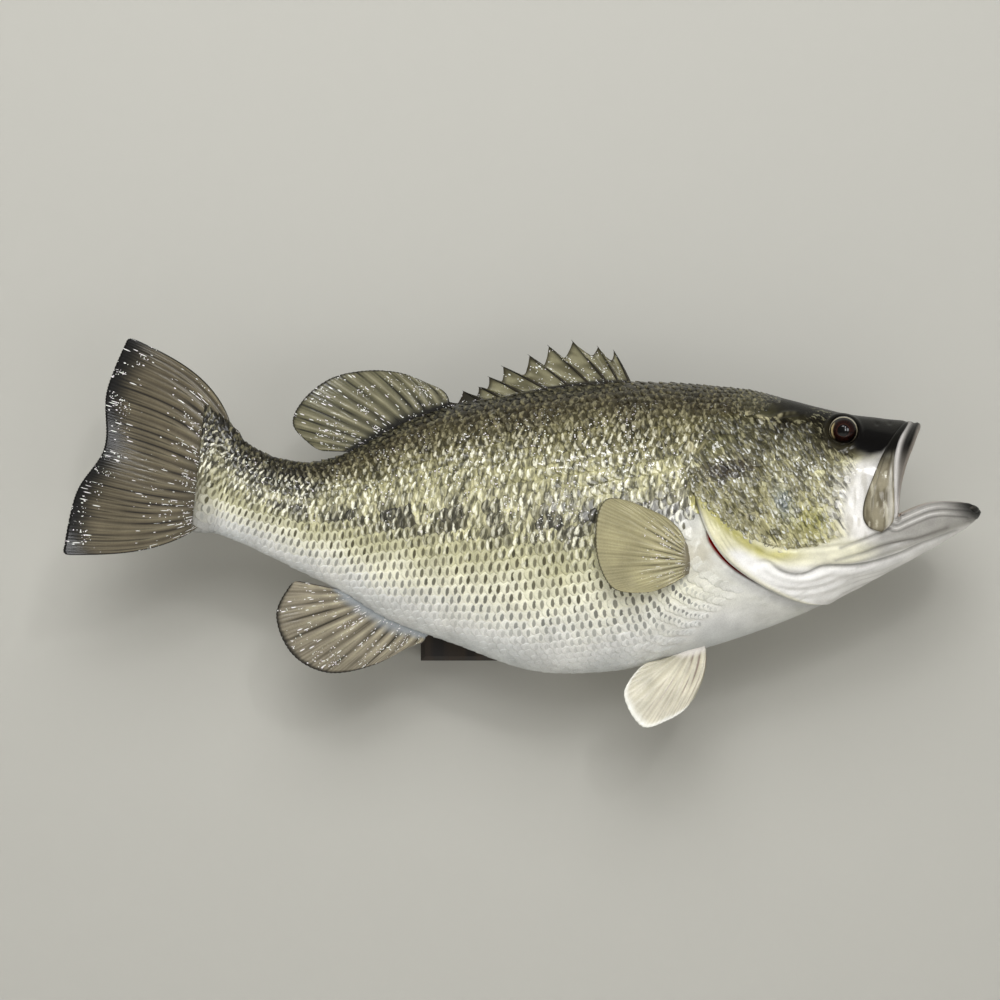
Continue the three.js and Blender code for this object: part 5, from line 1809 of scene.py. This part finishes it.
CAMERA_AT = (0.0124, -1.362, 0.0372)
CAMERA_LENS, SENSOR_WIDTH = 75.48, 36
MIDDLE, EYE_SIDE = (0, -0.06, 0), (0.24, -0.06, 0.08)  # the middle of the fish, and a point by its eye
SOFT = {"mirrored": False}  # lights the fish and leaves no reflection
WINDOW = {"height": 0.55, "lighting": False}  # upright, and seen only in reflections
# Lights as: name, place, point aimed at, size, power, and settings of area_light.
LIGHTS = (
    ("key", (-0.1, -1.7, 1.25), MIDDLE, 1.6, 35, SOFT),
    ("gloss_left", (-0.22, -1.7, 1.25), MIDDLE, 0.22, 1.6, {}),
    ("gloss_right", (0.06, -1.7, 1.25), MIDDLE, 0.22, 1.6, {}),
    ("fill", (-1.5, -1.9, 0.1), MIDDLE, 1.5, 6.5, SOFT),
    ("lift", (0.9, -1.5, -0.65), (0.1, -0.06, 0), 1.3, 6.5, SOFT),
    ("rear", (-0.3, 1.5, 0.9), MIDDLE, 1.4, 9, {}),
    ("glint", (0.5, -1.8, 1.0), MIDDLE, 0.14, 3, {}),
    ("window_left", (0.49, -1.8, 0.31), EYE_SIDE, 0.2, 4.2, WINDOW),
    ("window_right", (1.02, -1.65, 0.31), EYE_SIDE, 0.2, 4.2, WINDOW),
)


def make_camera():
    """A long lens square to the wall."""
    camera = bpy.data.cameras.new("camera")
    camera.lens = CAMERA_LENS
    camera.sensor_width = SENSOR_WIDTH
    holder = bpy.data.objects.new("camera", camera)
    holder.location = CAMERA_AT
    holder.rotation_euler = (math.radians(90), 0, 0)
    bpy.context.scene.collection.objects.link(holder)
    bpy.context.scene.camera = holder


def stage_sheet(name, corners, colour):
    """A flat sheet of the room, seen only from its front."""
    mesh = bpy.data.meshes.new(name)
    mesh.from_pydata(corners, [], [(0, 1, 2, 3)])
    sheet = bpy.data.objects.new(name, mesh)
    bpy.context.scene.collection.objects.link(sheet)
    material, tree, shader = new_material(name, Roughness=0.8)
    shader.inputs["Base Color"].default_value = colour4(colour)
    clear = add_node(tree, "ShaderNodeBsdfTransparent")
    back = add_node(tree, "ShaderNodeNewGeometry").outputs["Backfacing"]
    both = add_node(tree, "ShaderNodeMixShader", {0: back, 1: shader.outputs[0], 2: clear.outputs[0]})
    tree.links.new(both.outputs[0], tree.nodes["Material Output"].inputs["Surface"])
    mesh.materials.append(material)


def area_light(name, at, aim, size, power, mirrored=True, height=None, lighting=True):
    """A soft light turned to a point, left out of reflections unless mirrored, or kept to them."""
    light = bpy.data.lights.new(name, "AREA")
    light.shape = "RECTANGLE"
    light.size = size
    light.size_y = height or size
    light.energy = power
    holder = bpy.data.objects.new(name, light)
    holder.location = at
    holder.rotation_euler = (Vector(aim) - Vector(at)).to_track_quat("-Z", "Y").to_euler()
    holder.visible_glossy = mirrored
    holder.visible_diffuse = lighting
    bpy.context.scene.collection.objects.link(holder)


def make_stage():
    """Pale wall and floor, and the lights.

    The key, fill and lift light the fish and leave no reflection. The gloss lights and the glint are
    small and bright, for the lacquer, and the windows are seen only in reflections, such as the
    eye's. The rear light stands behind the wall, which keeps it off the mount, so the block's wall
    face and the hanger plate are black.
    """
    stage_sheet("wall", [(-3, 0.001, -0.7), (3, 0.001, -0.7), (3, 0.001, 2.5), (-3, 0.001, 2.5)], "#bab9b2")
    stage_sheet("floor", [(-3, -4, -0.7), (3, -4, -0.7), (3, 3, -0.7), (-3, 3, -0.7)], "#d9d7d2")
    for name, at, aim, size, power, settings in LIGHTS:
        area_light(name, at, aim, size, power, **settings)
    world = bpy.data.worlds.new("room")
    world.use_nodes = True
    world.node_tree.nodes["Background"].inputs["Color"].default_value = (1.0, 0.98, 0.93, 1.0)
    world.node_tree.nodes["Background"].inputs["Strength"].default_value = 0.15
    bpy.context.scene.world = world
    bpy.context.scene.view_settings.view_transform = "Standard"


# ---- The whole fish ----

RIM_TABLE = (half_angles(), rim_lines(half_angles())[0])
make_camera()
GROUPS = {
    "glitter": glitter_group(), "mottle": mottle_group(), "stroke": stroke_group(), "scale": scale_group(),
}
skin = skin_material(GROUPS)
scales = scale_material(GROUPS, "lacquered_scales", FLANK_LEAN, 1.0, 0.0)
face = scale_material(GROUPS, "lacquered_face_scales", FACE_LEAN, 0.2, 0.6)
fins = fin_material(GROUPS)
glass = eye_material()
make_skin(skin)
for way, side in ((NEAR, "right"), (FAR, "left")):
    body_scales(way, f"scales_{side}", scales)
    face_scales(way, f"face_scales_{side}", face)
    make_maxilla(way, f"jaw_plate_{side}", f"maxilla_{side}", skin)
    make_eye(way, f"eye_{side}_glass", f"eye_{side}", glass)
    make_fin(f"pectoral_{side}", [f"pectoral_fin_{side}"], FINS["pectoral_fin"], fins, 51 + way, way)
    shift = FAR_PELVIC_SHIFT if way == FAR else 0
    make_fin(f"pelvic_{side}", [f"pelvic_fin_{side}"], FINS["pelvic_fin"], fins, 61 + way, way, shift)
for index, name in enumerate(("caudal_fin", "dorsal_fin_soft", "anal_fin")):
    make_fin(name + "_rays", [name], FINS[name], fins, 71 + 5 * index)
make_spiny_dorsal(fins)
make_spines(fins)
for node, material in (("back_block", wood_material()), ("hanger_plate", plate_material())):
    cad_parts[node].data.materials.clear()
    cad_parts[node].data.materials.append(material)
make_stage()
